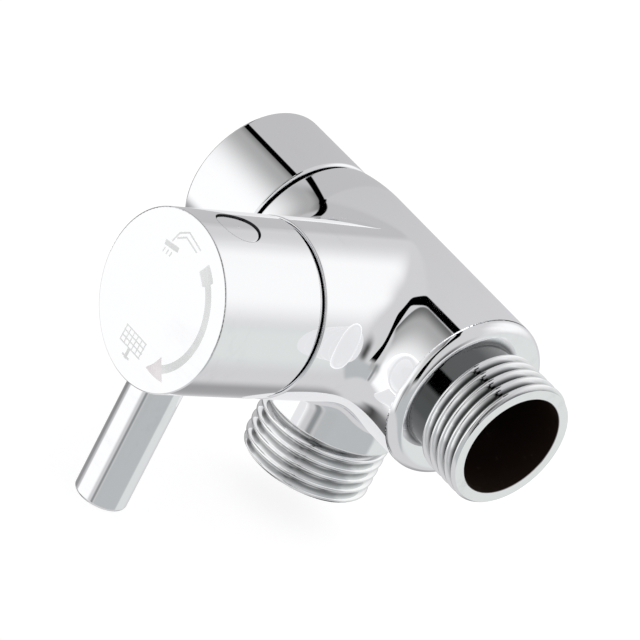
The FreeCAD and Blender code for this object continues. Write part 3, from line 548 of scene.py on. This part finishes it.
black_rubber = make_moulded("black_rubber", (0.022, 0.022, 0.023, 1), (0.04, 0.04, 0.041, 1),
                            0.62, 3800.0, 0.5, (0.16, 0.155, 0.15, 1))
white_ceramic = make_moulded("lapped_ceramic", (0.87, 0.87, 0.85, 1), (0.80, 0.80, 0.77, 1),
                             0.16, 6000.0, 0.08)
white_plastic = make_moulded("white_acetal", (0.86, 0.86, 0.84, 1), (0.80, 0.80, 0.78, 1),
                             0.42, 2600.0, 0.25)
grey_plastic = make_moulded("grey_acetal", (0.30, 0.31, 0.33, 1), (0.24, 0.25, 0.27, 1),
                            0.45, 2400.0, 0.3)
FINISHES = {
    "chrome": chrome, "brass": brass, "stainless": stainless, "black_rubber": black_rubber,
    "white_ceramic": white_ceramic, "white_plastic": white_plastic, "grey_plastic": grey_plastic,
}
for part in frame["record"]["subparts"]:
    for holder in frame["nodes"][part["node"]].material_slots:
        holder.material = FINISHES[part["material_slot"]]

# %% [markdown]
# ## The casting's skin
# On the real valve, three round tubes melt into each other, and the polisher's wheel leaves no
# edge between them. A mirror shows every flaw of such a joint, so the skin isn't modelled by
# hand. It is worked out: a function gives the distance of any point from the casting, a grid
# finds where that is zero, each mesh point is moved onto the surface, and its normal is taken
# from the function too. The reflections are then as smooth as the polish.
# All lengths in these cells are millimetres from the point where the three axes meet.

# %% The three tubes
BRANCH_R, NECK_R = 13.46, 10.9
FRONT_CUT, BACK_CUT, BRANCH_CUT, NECK_CUT = -20.5, 19.6, -24.85, -18.1
RUN_FRONT, CURVE_START = -22.4, 13.6
RUN_FRONT_R, RUN_BACK_R, CURVE_IN = 13.6, 13.9, 0.01831
FAR_OFF = 99.0


def run_radius(y):
    """The main tube is a very slight cone, and its last part curves in towards the nut."""
    curve = np.clip(y - CURVE_START, 0, None)
    cone = RUN_FRONT_R + (RUN_BACK_R - RUN_FRONT_R) * (y - RUN_FRONT) / (CURVE_START - RUN_FRONT)
    return np.where(y < CURVE_START, cone, RUN_BACK_R - CURVE_IN * curve ** 2)


def run_tube(p):
    """Distance from the main tube, and the direction straight out of it."""
    x, y, z = p.T
    away = np.maximum(np.hypot(x, z), 1e-6)
    cone_slope = (RUN_BACK_R - RUN_FRONT_R) / (CURVE_START - RUN_FRONT)
    lean_in = np.where(y < CURVE_START, -cone_slope, 2 * CURVE_IN * (y - CURVE_START))
    normal = np.stack([x / away, lean_in, z / away], 1)
    return away - run_radius(y), normal / np.linalg.norm(normal, axis=1)[:, None]


def side_tube(p, axis, radius):
    """A tube that leaves the centre along -X or -Z."""
    others = [i for i in range(3) if i != axis]
    away = np.maximum(np.hypot(p[:, others[0]], p[:, others[1]]), 1e-6)
    normal = np.zeros_like(p)
    normal[:, others] = p[:, others] / away[:, None]
    return np.where(p[:, axis] > 0, FAR_OFF, away - radius), normal


# %% [markdown]
# Where two tubes meet, the hollow between them is filled. The depth of the fill grows smoothly
# from nothing, at the places where one tube is `reach` farther off than the other, to its full
# size where both are equally near. A rolled ball would leave a line where it touches, and a mirror
# shows that as a kink. The reach shrinks with the angle between the two surfaces, so nothing is
# added where they run along each other.

# %% Soft joint
def join(first, second, reach):
    """Distance from two melted surfaces, and nearly the direction straight out of them."""
    f1, n1 = first
    f2, n2 = second
    reach = reach * (1.0001 - (n1 * n2).sum(1))
    share = np.clip(1 - abs(f1 - f2) / reach, 0, None)
    far = share ** 2 / 2
    weight = np.where(f1 < f2, 1 - far, far)[:, None]
    normal = n1 * weight + n2 * (1 - weight)
    normal = normal / np.linalg.norm(normal, axis=1)[:, None]
    return np.minimum(f1, f2) - reach * share ** 3 / 6, normal


def casting(p):
    """Distance from the casting's skin, and nearly the direction straight out of it."""
    tubes = join(run_tube(p), side_tube(p, 0, BRANCH_R), 8.6)
    return join(tubes, side_tube(p, 2, NECK_R), 2.4)


def outward(p):
    """The exact direction, from the distances a hair's breadth to each side."""
    hair = 0.002 * np.eye(3)
    slope = np.stack([casting(p + step)[0] - casting(p - step)[0] for step in hair], 1)
    return slope / np.linalg.norm(slope, axis=1)[:, None]


# %% Grid of points around the casting
CELL = 0.42
low, high = np.array([-26.0, -21.6, -19.2]), np.array([14.8, 20.6, 14.8])
counts = np.ceil((high - low) / CELL).astype(int) + 1
axes = [low[i] + CELL * np.arange(counts[i]) for i in range(3)]
points = np.stack(np.meshgrid(*axes, indexing="ij"), -1).reshape(-1, 3)
field = casting(points)[0].reshape(counts)
inside = field < 0
print("grid points:", field.size)

# %% [markdown]
# Every grid cell that the surface passes through gets one mesh point, at the average of the
# places where its edges are crossed. Every grid edge that is crossed gives one four-sided face
# between the four cells around it. This method is called surface nets.

# %% Surface nets
def cell_points(field, inside):
    """One point for each crossed cell, and the cell's number, -1 where it isn't crossed."""
    size = np.array(field.shape) - 1
    total, crossings = np.zeros((*size, 3)), np.zeros(size)
    for axis in range(3):
        u, v = [i for i in range(3) if i != axis]
        for du in (0, 1):
            for dv in (0, 1):
                start = [slice(0, n) for n in size]
                start[u], start[v] = slice(du, size[u] + du), slice(dv, size[v] + dv)
                end = list(start)
                end[axis] = slice(1, size[axis] + 1)
                f0, f1 = field[tuple(start)], field[tuple(end)]
                crossed = (f0 < 0) != (f1 < 0)
                share = np.where(crossed, f0 / np.where(crossed, f0 - f1, 1), 0)
                step = np.zeros((*size, 3))
                step[..., axis], step[..., u], step[..., v] = share, du, dv
                total += step * crossed[..., None]
                crossings += crossed
    used = crossings > 0
    number = np.full(size, -1)
    number[used] = np.arange(used.sum())
    corner = np.argwhere(used)
    return low + CELL * (corner + total[used] / crossings[used][:, None]), number


def net_faces(inside, number):
    """A face around every grid edge that the surface crosses, turned to look outward."""
    faces = []
    for axis in range(3):
        u, v = (axis + 1) % 3, (axis + 2) % 3
        upper = np.roll(inside, -1, axis)
        edge = np.argwhere(inside != upper)
        size = np.array(number.shape)
        keep = (edge[:, axis] < size[axis]) & (edge[:, u] > 0) & (edge[:, v] > 0)
        keep &= (edge[:, u] < size[u]) & (edge[:, v] < size[v])
        edge = edge[keep]
        step_u, step_v = np.eye(3, dtype=int)[u], np.eye(3, dtype=int)[v]
        ring = [edge - step_u - step_v, edge - step_v, edge, edge - step_u]
        quads = np.stack([number[tuple(c.T)] for c in ring], 1)
        leaving = inside[tuple(edge.T)]
        quads[~leaving] = quads[~leaving][:, ::-1]
        faces.append(quads)
    return np.concatenate(faces)


net, numbers = cell_points(field, inside)
quads = net_faces(inside, numbers)
for _ in range(7):
    distance, normal = casting(net)
    net -= distance[:, None] * normal
worst = float(abs(casting(net)[0]).max())
print("net points:", len(net), "faces:", len(quads), "worst distance:", round(worst, 4), "mm")

# %% [markdown]
# The net runs past the ends of the tubes. It is cut square just before each end, where a turned
# ring will take over. Then the exact normals are stored on the mesh.

# %% Trim the net and store exact normals
def add_piece(name, mesh, body, finish):
    """Link a mesh given in millimetres from the centre, and let it ride on a body."""
    mesh.transform(Matrix.Translation(CENTRE) @ Matrix.Scale(MM, 4))
    piece = bpy.data.objects.new(name, mesh)
    scene.collection.objects.link(piece)
    mesh.materials.append(finish)
    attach(piece, body)
    return piece


def set_normals(mesh, normals):
    """Smooth faces that use the given normal at each point."""
    mesh.polygons.foreach_set("use_smooth", np.ones(len(mesh.polygons), bool))
    mesh.normals_split_custom_set_from_vertices([tuple(n) for n in normals])


skin = bpy.data.meshes.new("casting_skin")
skin.from_pydata(net.tolist(), [], quads.tolist())
work = bmesh.new()
work.from_mesh(skin)
for spot, square in (((0, FRONT_CUT, 0), (0, -1, 0)), ((0, BACK_CUT, 0), (0, 1, 0)),
                     ((BRANCH_CUT, 0, 0), (-1, 0, 0)), ((0, 0, NECK_CUT), (0, 0, -1))):
    bmesh.ops.bisect_plane(work, geom=work.verts[:] + work.edges[:] + work.faces[:],
                           plane_co=spot, plane_no=square, clear_outer=True)
work.to_mesh(skin)
work.free()
where = np.array([v.co for v in skin.vertices], float)
set_normals(skin, outward(where))
casting_skin = add_piece("casting_skin", skin, "body", chrome)
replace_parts(casting_skin, "valve_body")
print("skin faces:", len(skin.polygons))

# %% [markdown]
# ## Turned ends
# The ends of the tubes are lathe work: shoulders, edges, bores and thread run-outs. One helper
# turns an outline around an axis. Where two runs of the outline meet at a real corner, the corner
# appears twice, once with each run's normal, so the edge stays crisp in the mirror. An arc is a
# run of many short steps whose normals turn with it.

# %% Turning helpers
AXES = {"+y": (0, 1, 0), "-y": (0, -1, 0), "-z": (0, 0, -1), "-x": (-1, 0, 0)}


def axis_frame(name):
    """Two directions across an axis and the axis itself, right-handed."""
    along = Vector(AXES[name])
    across = Vector((0, 0, 1)) if name != "-z" else Vector((1, 0, 0))
    return np.array([across, along.cross(across), along])


def corner_arc(centre, radius, start, end, steps=8):
    """Points of an arc in the outline's plane, as (distance from axis, place along it)."""
    angles = np.linspace(math.radians(start), math.radians(end), steps + 1)
    return [(centre[0] + radius * math.cos(t), centre[1] + radius * math.sin(t)) for t in angles]


def turned_mesh(name, runs, axis, segments=256):
    """Each run is a list of (radius, place). Material lies at the right hand of the outline."""
    basis = axis_frame(axis)
    angle = np.linspace(0, 2 * math.pi, segments, endpoint=False)
    ring = np.outer(np.cos(angle), basis[0]) + np.outer(np.sin(angle), basis[1])
    verts, normals, faces = [], [], []
    for run in runs:
        outline = np.array(run, float)
        ahead = np.diff(outline, axis=0)
        ahead /= np.linalg.norm(ahead, axis=1)[:, None]
        tangent = np.vstack([ahead[:1], (ahead[1:] + ahead[:-1]) / 2, ahead[-1:]])
        tangent /= np.linalg.norm(tangent, axis=1)[:, None]
        first = len(verts) * segments
        for (r, h), (tr, th) in zip(outline, tangent):
            verts.append(ring * r + basis[2] * h)
            normals.append(ring * th - basis[2] * tr)
        for k in range(len(outline) - 1):
            a = first + k * segments + np.arange(segments)
            b = first + k * segments + (np.arange(segments) + 1) % segments
            faces.append(np.stack([a, b, b + segments, a + segments], 1))
    return finish_mesh(name, np.concatenate(verts), np.concatenate(normals), np.concatenate(faces))


def finish_mesh(name, verts, normals, faces):
    """A mesh from arrays, with each face turned to agree with its normals."""
    a, b, c = verts[faces[:, 0]], verts[faces[:, 1]], verts[faces[:, 2]]
    d = verts[faces[:, 3]]
    agree = (np.cross(c - a, d - b) * normals[faces].sum(1)).sum(1)
    faces = np.where(agree[:, None] < 0, faces[:, ::-1], faces)
    mesh = bpy.data.meshes.new(name)
    mesh.from_pydata(verts.tolist(), [], faces.tolist())
    set_normals(mesh, normals)
    return mesh


# %% [markdown]
# The shoulder in front and the seam behind catch the eye most: the
# front edge is a wide soft round, and the edges at the knob and the nut are small crisp ones. In
# the seam at the knob stands a thin lip, which gives it two fine dark lines. The back end also
# has the spigot that the nut turns on, with the groove for its snap ring and the washer's seat.

# %% Shoulder, crown edge and knob side edge
BORE_R, CREST_R, GROOVE_R = 8.396, 10.4775, 9.2
front_r = float(run_radius(np.array(FRONT_CUT)))
shoulder = turned_mesh("front_shoulder", [
    [(front_r, -FRONT_CUT - 0.15), (13.6, 20.6)] + corner_arc((11.8, 20.6), 1.8, 0, 90, 16),
    [(11.8, 22.4), (9.15, 22.4)],
], "-y")
crown_r = float(run_radius(np.array(BACK_CUT)))
crown = turned_mesh("crown_end", [
    [(crown_r, BACK_CUT)] + corner_arc((12.86, 19.68), 0.34, 6, 90, 8),
    [(12.86, 20.02), (8.0, 20.02)],
    [(8.0, 20.02), (8.0, 23.23)],
    [(8.0, 23.23), (7.1, 23.23)],
    [(7.1, 23.23), (7.1, 24.17)],
    [(7.1, 24.17), (8.0, 24.17)],
    [(8.0, 24.17), (8.0, 25.0)],
    [(8.0, 25.0), (6.9, 25.0)],
    [(6.9, 25.0), (6.9, 24.45)],
    [(6.9, 24.45), (6.0, 24.45)],
    [(6.0, 24.45), (6.0, 8.6)],
    [(6.0, 8.6), (0.001, 8.6)],
], "+y")
rim = turned_mesh("cartridge_mouth", [
    [(13.46, -BRANCH_CUT - 0.05)] + corner_arc((13.21, 24.99), 0.25, 0, 90, 8),
    [(13.21, 25.24), (12.3, 25.24)],
    [(12.3, 25.24), (12.3, 25.52)],
    [(12.3, 25.52)] + corner_arc((12.8, 25.62), 0.1, -90, 0, 4),
    [(12.9, 25.62), (12.9, 25.72)],
    corner_arc((12.8, 25.72), 0.1, 0, 90, 4) + [(11.2, 25.82)],
    [(11.2, 25.82), (11.2, 17.0)],
    [(11.2, 17.0), (9.5, 17.0)],
    [(9.5, 17.0), (9.5, -1.5)],
    [(9.5, -1.5), (0.001, -1.5)],
], "-x")
for mesh in (shoulder, crown, rim):
    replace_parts(add_piece(mesh.name, mesh, "body", chrome), "valve_body")
    print(mesh.name, "faces:", len(mesh.polygons))

# %% [markdown]
# A round plug closes the hole through which the knob's screw is tightened. It is pressed in a
# little below the surface and follows the knob's curve, so the far wall of its hole shows as a
# thin crescent, darkened with painted shade in the knob's material.

# %% Sunk plug
KNOB_R, PLUG_X, PLUG_R, PLUG_SINK = 13.45, -37.6, 3.5, 0.24
PLUG_ROUND, PLUG_SIDE, PLUG_POINTS = 0.3, 1.2, 96
plug_rings = [(r, 0.0) for r in np.linspace(0.05, PLUG_R - PLUG_ROUND, 14)]
plug_rings += [(PLUG_R - PLUG_ROUND + PLUG_ROUND * math.sin(t), PLUG_ROUND - PLUG_ROUND * math.cos(t))
               for t in np.linspace(0.2, 1.57, 7)]
plug_rings += [(PLUG_R, PLUG_SIDE)]
turn = np.linspace(0, 2 * math.pi, PLUG_POINTS, endpoint=False)
plug_verts = []
for r, drop in plug_rings:
    x, y = PLUG_X + r * np.cos(turn), r * np.sin(turn)
    plug_verts.append(np.stack([x, y, np.sqrt((KNOB_R - PLUG_SINK) ** 2 - y ** 2) - drop], 1))
a = np.arange(PLUG_POINTS)
b = (a + 1) % PLUG_POINTS
band = np.stack([a + PLUG_POINTS, b + PLUG_POINTS, b, a], 1)
plug_faces = [band + PLUG_POINTS * k for k in range(len(plug_rings) - 1)]
plug_mesh = bpy.data.meshes.new("sunk_plug")
plug_mesh.from_pydata(np.concatenate(plug_verts).tolist(), [],
                      [tuple(int(i) for i in a[::-1])] + np.concatenate(plug_faces).tolist())
plug_mesh.polygons.foreach_set("use_smooth", np.ones(len(plug_mesh.polygons), bool))
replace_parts(add_piece("sunk_plug", plug_mesh, "handle", chrome), "hole_plug")
print("sunk_plug faces:", len(plug_mesh.polygons))

# %% [markdown]
# ## The threads
# Both outlets carry the pipe thread of shower hoses. Its crests and roots are rounded, because
# the die that cuts it is. The mesh follows the helix: each row of points keeps its place on the
# thread's outline and climbs one pitch in a turn, so that crests stay clean lines all the way
# round. At both ends the rows are held back to the plain ring, and the end chamfer cuts across
# the last crest.

# %% Thread outline
PITCH, RUNOUT = 1.8143, 0.9
FRONT_CHAMFER, LOWER_CHAMFER = 0.45, 0.60


def thread_radius(phase):
    """Rounded thread: 0 and 1 are the middle of a root, 0.5 is the middle of a crest."""
    flank = np.clip((0.5 - np.abs(phase - 0.5)) * 2, 0, 1)
    eased = np.clip((flank - 0.14) / 0.70, 0, 1)
    eased = 0.62 * eased + 0.38 * eased * eased * (3 - 2 * eased)
    return ROOT_R + (CREST_R - ROOT_R) * eased


def thread_rows(start, end, chamfer, segments=240, rows_a_pitch=22):
    """Angles, free and held places along the axis, and radii of the thread's rows of points."""
    angle = np.linspace(0, 2 * math.pi, segments + 1)
    turns = np.arange(-rows_a_pitch, int((end - start) / PITCH * rows_a_pitch) + rows_a_pitch * 2)
    place = start + PITCH * (turns[None, :] / rows_a_pitch + angle[:, None] / (2 * math.pi))
    phase = np.broadcast_to((turns / rows_a_pitch) % 1.0, place.shape)
    held = np.clip(place, start, end)
    radius = thread_radius(phase)
    runout = np.clip((held - start) / RUNOUT, 0, 1)
    radius = GROOVE_R + (radius - GROOVE_R) * (runout * runout * (3 - 2 * runout))
    return angle, place, held, np.minimum(radius, CREST_R - chamfer + end - held)


def build_thread(name, axis, start, end, chamfer, finish):
    """The thread between two places along an axis, with a chamfered far end."""
    basis = axis_frame(axis)
    angle, place, held, radius = thread_rows(start, end, chamfer)
    round_dir = np.outer(np.cos(angle), basis[0]) + np.outer(np.sin(angle), basis[1])
    verts = round_dir[:, None, :] * radius[..., None] + basis[2] * held[..., None]
    rows = verts.shape[1]
    live = (place[:-1, 1:] > start) & (place[1:, :-1] < end)
    i, k = np.nonzero(live)
    first, following = i * rows + k, (i + 1) * rows + k
    faces = np.stack([first, following, following + 1, first + 1], 1)
    mesh = bpy.data.meshes.new(name)
    mesh.from_pydata(verts.reshape(-1, 3).tolist(), [], faces.tolist())
    work = bmesh.new()
    work.from_mesh(mesh)
    bmesh.ops.remove_doubles(work, verts=work.verts, dist=1e-4)
    bmesh.ops.dissolve_degenerate(work, edges=work.edges, dist=1e-5)
    bmesh.ops.delete(work, geom=[v for v in work.verts if not v.link_faces], context="VERTS")
    bmesh.ops.recalc_face_normals(work, faces=work.faces)
    work.to_mesh(mesh)
    work.free()
    middle_face = mesh.polygons[len(mesh.polygons) // 2]
    spoke, along = Vector(middle_face.center), Vector(basis[2])
    spoke -= along * spoke.dot(along)
    if middle_face.normal.dot(spoke) < 0:
        mesh.flip_normals()
    mesh.polygons.foreach_set("use_smooth", np.ones(len(mesh.polygons), bool))
    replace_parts(add_piece(name, mesh, "body", finish), "valve_body")
    print(name, "faces:", len(mesh.polygons))


build_thread("front_thread", "-y", 24.0, FRONT_END, FRONT_CHAMFER, front_finish)
build_thread("lower_thread", "-z", 18.6, LOWER_END, LOWER_CHAMFER, lower_finish)

# %% [markdown]
# The rest of each outlet is turned: the groove where the thread runs out, the flat end and the
# bore with its slightly broken edge. A hole in the bore's floor leads on to the cartridge. It sits
# off centre, so the floor isn't turned: it is a flat plate with a round opening, and a short tube
# goes down from it.

# %% Outlet rings and bores
BORE_EDGE, BORE_FLOOR = 0.12, 11.5


def outlet_runs(groove_from, groove_to, end, chamfer, lead_in):
    """Outline of the groove, the end face and the bore, after the runs that lead in to them."""
    edge = end - BORE_EDGE
    return lead_in + [
        [(GROOVE_R, groove_from), (GROOVE_R, groove_to)],
        [(CREST_R - chamfer, end), (BORE_R + BORE_EDGE, end)],
        [(BORE_R + BORE_EDGE, end), (BORE_R, edge)],
        [(BORE_R, edge), (BORE_R, end - 4.0), (BORE_R, 16.0), (BORE_R, BORE_FLOOR)],
    ]


front_runs = outlet_runs(22.35, 24.1, FRONT_END, FRONT_CHAMFER, [])
front_ring = turned_mesh("front_outlet", front_runs, "-y")
neck_edge = [
    [(NECK_R, -NECK_CUT - 0.05)] + corner_arc((10.55, 18.15), 0.35, 0, 90, 8),
    [(10.55, 18.5), (9.15, 18.5)],
]
lower_runs = outlet_runs(18.5, 18.7, LOWER_END, LOWER_CHAMFER, neck_edge)
lower_ring = turned_mesh("lower_outlet", lower_runs, "-z")
for ring, finish in ((front_ring, front_finish), (lower_ring, lower_finish)):
    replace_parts(add_piece(ring.name, ring, "body", finish), "valve_body")
    print(ring.name, "faces:", len(ring.polygons))

# %% Floors of the two bores
PORT_PLACE, PORT_R, PORT_END = 5.2, 3.0, 4.7


def floor_mesh(name, axis, segments=96):
    """A round plate with an opening off its centre, and the passage behind it."""
    basis = axis_frame(axis)
    side = np.array([1.0, 0.0, 0.0])
    other = np.cross(basis[2], side)
    angle = np.linspace(0, 2 * math.pi, segments, endpoint=False)
    round_dir = np.outer(np.cos(angle), side) + np.outer(np.sin(angle), other)
    hole = side * PORT_PLACE + round_dir * PORT_R
    reach = []
    for d in round_dir:
        along = PORT_PLACE * d[0]
        reach.append(-along + math.sqrt(max(along ** 2 - PORT_PLACE ** 2 + BORE_R ** 2, 0)))
    edge = side * PORT_PLACE + round_dir * np.array(reach)[:, None]
    level, deep = basis[2] * BORE_FLOOR, basis[2] * PORT_END
    verts = np.concatenate([edge + level, hole + level, hole + level, hole + deep])
    flat = np.broadcast_to(basis[2], hole.shape)
    normals = np.concatenate([flat, flat, -round_dir, -round_dir])
    a = np.arange(segments)
    b = (a + 1) % segments
    faces = np.concatenate([
        np.stack([a, b, b + segments, a + segments], 1),
        np.stack([a, b, b + segments, a + segments], 1) + 2 * segments,
    ])
    return finish_mesh(name, verts, normals, faces)


for name, axis, finish in (("front_bore_floor", "-y", front_finish),
                           ("lower_bore_floor", "-z", lower_finish)):
    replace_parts(add_piece(name, floor_mesh(name, axis), "body", finish), "valve_body")
    print(name, "is at", BORE_FLOOR, "mm")

# %% [markdown]
# ## The marks on the knob
# The knob's face carries a pale print that says what the lever does: an arc with an arrowhead
# along its edge, and two small generic signs: a shower head on an arm, and a hatched plate. A print
# is thinner than anything a mesh should hold, so it is drawn in the knob's own material. `across` and
# `up` are the place on the face in millimetres from its middle, and each stroke is a mask that is
# 1 near a short line. The ink is worn, so it also fades in patches. The same material paints shade
# on the wall of the plug's hole, as a near-black tone.

# %% Finish: printed chrome for the knob
printed, tree, shader, place = start_finish("printed_chrome", 1.0, 0.03)
spot = tree.nodes.new("ShaderNodeSeparateXYZ")
tree.links.new(place, spot.inputs[0])
across = calc(tree, "MULTIPLY", calc(tree, "SUBTRACT", CENTRE.y, spot.outputs["Y"]), 1 / MM)
up = calc(tree, "MULTIPLY", spot.outputs["Z"], 1 / MM)
on_face = calc(tree, "LESS_THAN", spot.outputs["X"], -0.04497)
SOFT = 0.05


def product_sum(a, b, c, d):
    """a * b + c * d"""
    return calc(tree, "ADD", calc(tree, "MULTIPLY", a, b), calc(tree, "MULTIPLY", c, d))


def stroke(start, end, half_width):
    """A mask for a short straight stroke between two places on the face."""
    run, rise = end[0] - start[0], end[1] - start[1]
    length = math.hypot(run, rise)
    c, s = run / length, rise / length
    a = calc(tree, "SUBTRACT", across, (start[0] + end[0]) / 2)
    b = calc(tree, "SUBTRACT", up, (start[1] + end[1]) / 2)
    along = calc(tree, "ABSOLUTE", product_sum(a, c, b, s))
    aside = calc(tree, "ABSOLUTE", product_sum(b, c, a, -s))
    half = length / 2 + half_width
    return calc(tree, "MULTIPLY", ramp(tree, along, half - SOFT, half + SOFT, 1, 0),
                ramp(tree, aside, half_width - SOFT, half_width + SOFT, 1, 0))


def together(masks):
    """The greatest of several masks."""
    total = masks[0]
    for mask in masks[1:]:
        total = calc(tree, "MAXIMUM", total, mask)
    return total


# %% The arc and its arrowhead
ARC_R = 9.9
from_centre = calc(tree, "SQRT", product_sum(across, across, up, up))
off_arc = calc(tree, "ABSOLUTE", calc(tree, "SUBTRACT", from_centre, ARC_R))
way_round = calc(tree, "DIVIDE", calc(tree, "ARCTAN2", up, across), DEGREE)
ARC_TOP, ARC_FOOT, TIP = 62.0, -52.0, -71.0


def bow(half_width, top, foot):
    """A mask along the arc, between two bearings on the face and as wide as half_width says."""
    beside = ramp(tree, calc(tree, "SUBTRACT", off_arc, half_width), -SOFT, SOFT, 1, 0)
    below_top = ramp(tree, way_round, top - 0.4, top + 0.4, 1, 0)
    above_foot = ramp(tree, way_round, foot - 0.4, foot + 0.4)
    return calc(tree, "MULTIPLY", beside, calc(tree, "MULTIPLY", below_top, above_foot))


arc = bow(ramp(tree, way_round, 46.5, 47.5, 0.62, 1.15), ARC_TOP, ARC_FOOT)
taper = calc(tree, "MULTIPLY", calc(tree, "SUBTRACT", way_round, TIP), 1.75 / 19.0)
head = bow(taper, ARC_FOOT + 1, TIP)
print("arc from", ARC_TOP, "to", TIP, "degrees")

# %% The two signs
fixed_head = [
    stroke((-3.2, 8.1), (-2.6, 9.8), 0.13), stroke((-2.6, 9.8), (-0.9, 11.0), 0.13),
    stroke((-0.9, 11.0), (2.4, 10.3), 0.13), stroke((-2.5, 9.0), (-1.0, 10.1), 0.13),
    stroke((-1.0, 10.1), (1.9, 9.6), 0.13), stroke((-4.0, 7.2), (-1.7, 7.6), 0.40),
    stroke((-3.9, 6.4), (-4.0, 5.8), 0.11), stroke((-3.1, 6.5), (-3.2, 5.9), 0.11),
    stroke((-2.3, 6.6), (-2.4, 6.0), 0.11),
]
hand_shower = [
    stroke((-1.2, -9.6), (-1.2, -10.7), 0.30), stroke((-1.9, -10.7), (-0.5, -10.7), 0.16),
]
for column in range(6):
    x = -3.6 + column * 0.98
    hand_shower.append(stroke((x, -6.8), (x - 0.1, -9.3), 0.10))
for row in range(4):
    z = -6.8 - row * 0.84
    hand_shower.append(stroke((-3.7, z), (1.4, z), 0.10))
print("strokes:", len(fixed_head) + len(hand_shower))

# %% Ink over chrome
worn = use_group(tree, grain, Vector=place, Scale=1800.0)
ink = calc(tree, "MULTIPLY", together([arc, head] + fixed_head + hand_shower), on_face)
ink = calc(tree, "MULTIPLY", ink, ramp(tree, worn["Clouds"], 0.25, 0.60, 0.22, 0.42))
polish = use_group(tree, hand_polish, Vector=place, Wave_Scale=90.0, Wipe_Scale=420.0)
mirror = blend(tree, polish["Wipes"], (0.935, 0.94, 0.95, 1), (0.90, 0.905, 0.915, 1))
ink_tone = blend(tree, head, (0.66, 0.67, 0.66, 1), (0.80, 0.66, 0.69, 1))
plug_away = calc(tree, "SUBTRACT", spot.outputs["X"], PLUG_X * MM)
plug_aside = calc(tree, "MULTIPLY", across, MM)
from_plug = calc(tree, "SQRT", product_sum(plug_away, plug_away, plug_aside, plug_aside))
near_plug = ramp(tree, from_plug, (PLUG_R + 0.05) * MM, (PLUG_R + 0.08) * MM, 1, 0)
# This mask is painted shade: a near-black tone on the wall of the plug's hole, above the plug.
hole_shade = calc(tree, "MULTIPLY", near_plug, ramp(tree, up, 5.0, 6.0))
coat = blend(tree, hole_shade, blend(tree, ink, mirror, ink_tone), (0.05, 0.05, 0.055, 1))
# This mask is a painted reflection: the knob turns black and glows pale grey in other parts' mirrors.
card, coat = paint_reflection_glow(tree, shader, coat)
feed(tree, shader.inputs["Emission Strength"], card)
feed(tree, shader.inputs["Base Color"], coat)
feed(tree, shader.inputs["Metallic"], calc(tree, "MULTIPLY_ADD", ink, -0.9, 1.0))
smear = calc(tree, "MULTIPLY_ADD", polish["Wipes"], 0.07, 0.022)
feed(tree, shader.inputs["Roughness"], calc(tree, "MULTIPLY_ADD", ink, 0.35, smear))
add_bump(tree, shader, polish["Waves"], 0.35, 0.00001)
for holder in frame["nodes"]["knob"].material_slots:
    holder.material = printed
print("printed knob nodes:", len(tree.nodes))
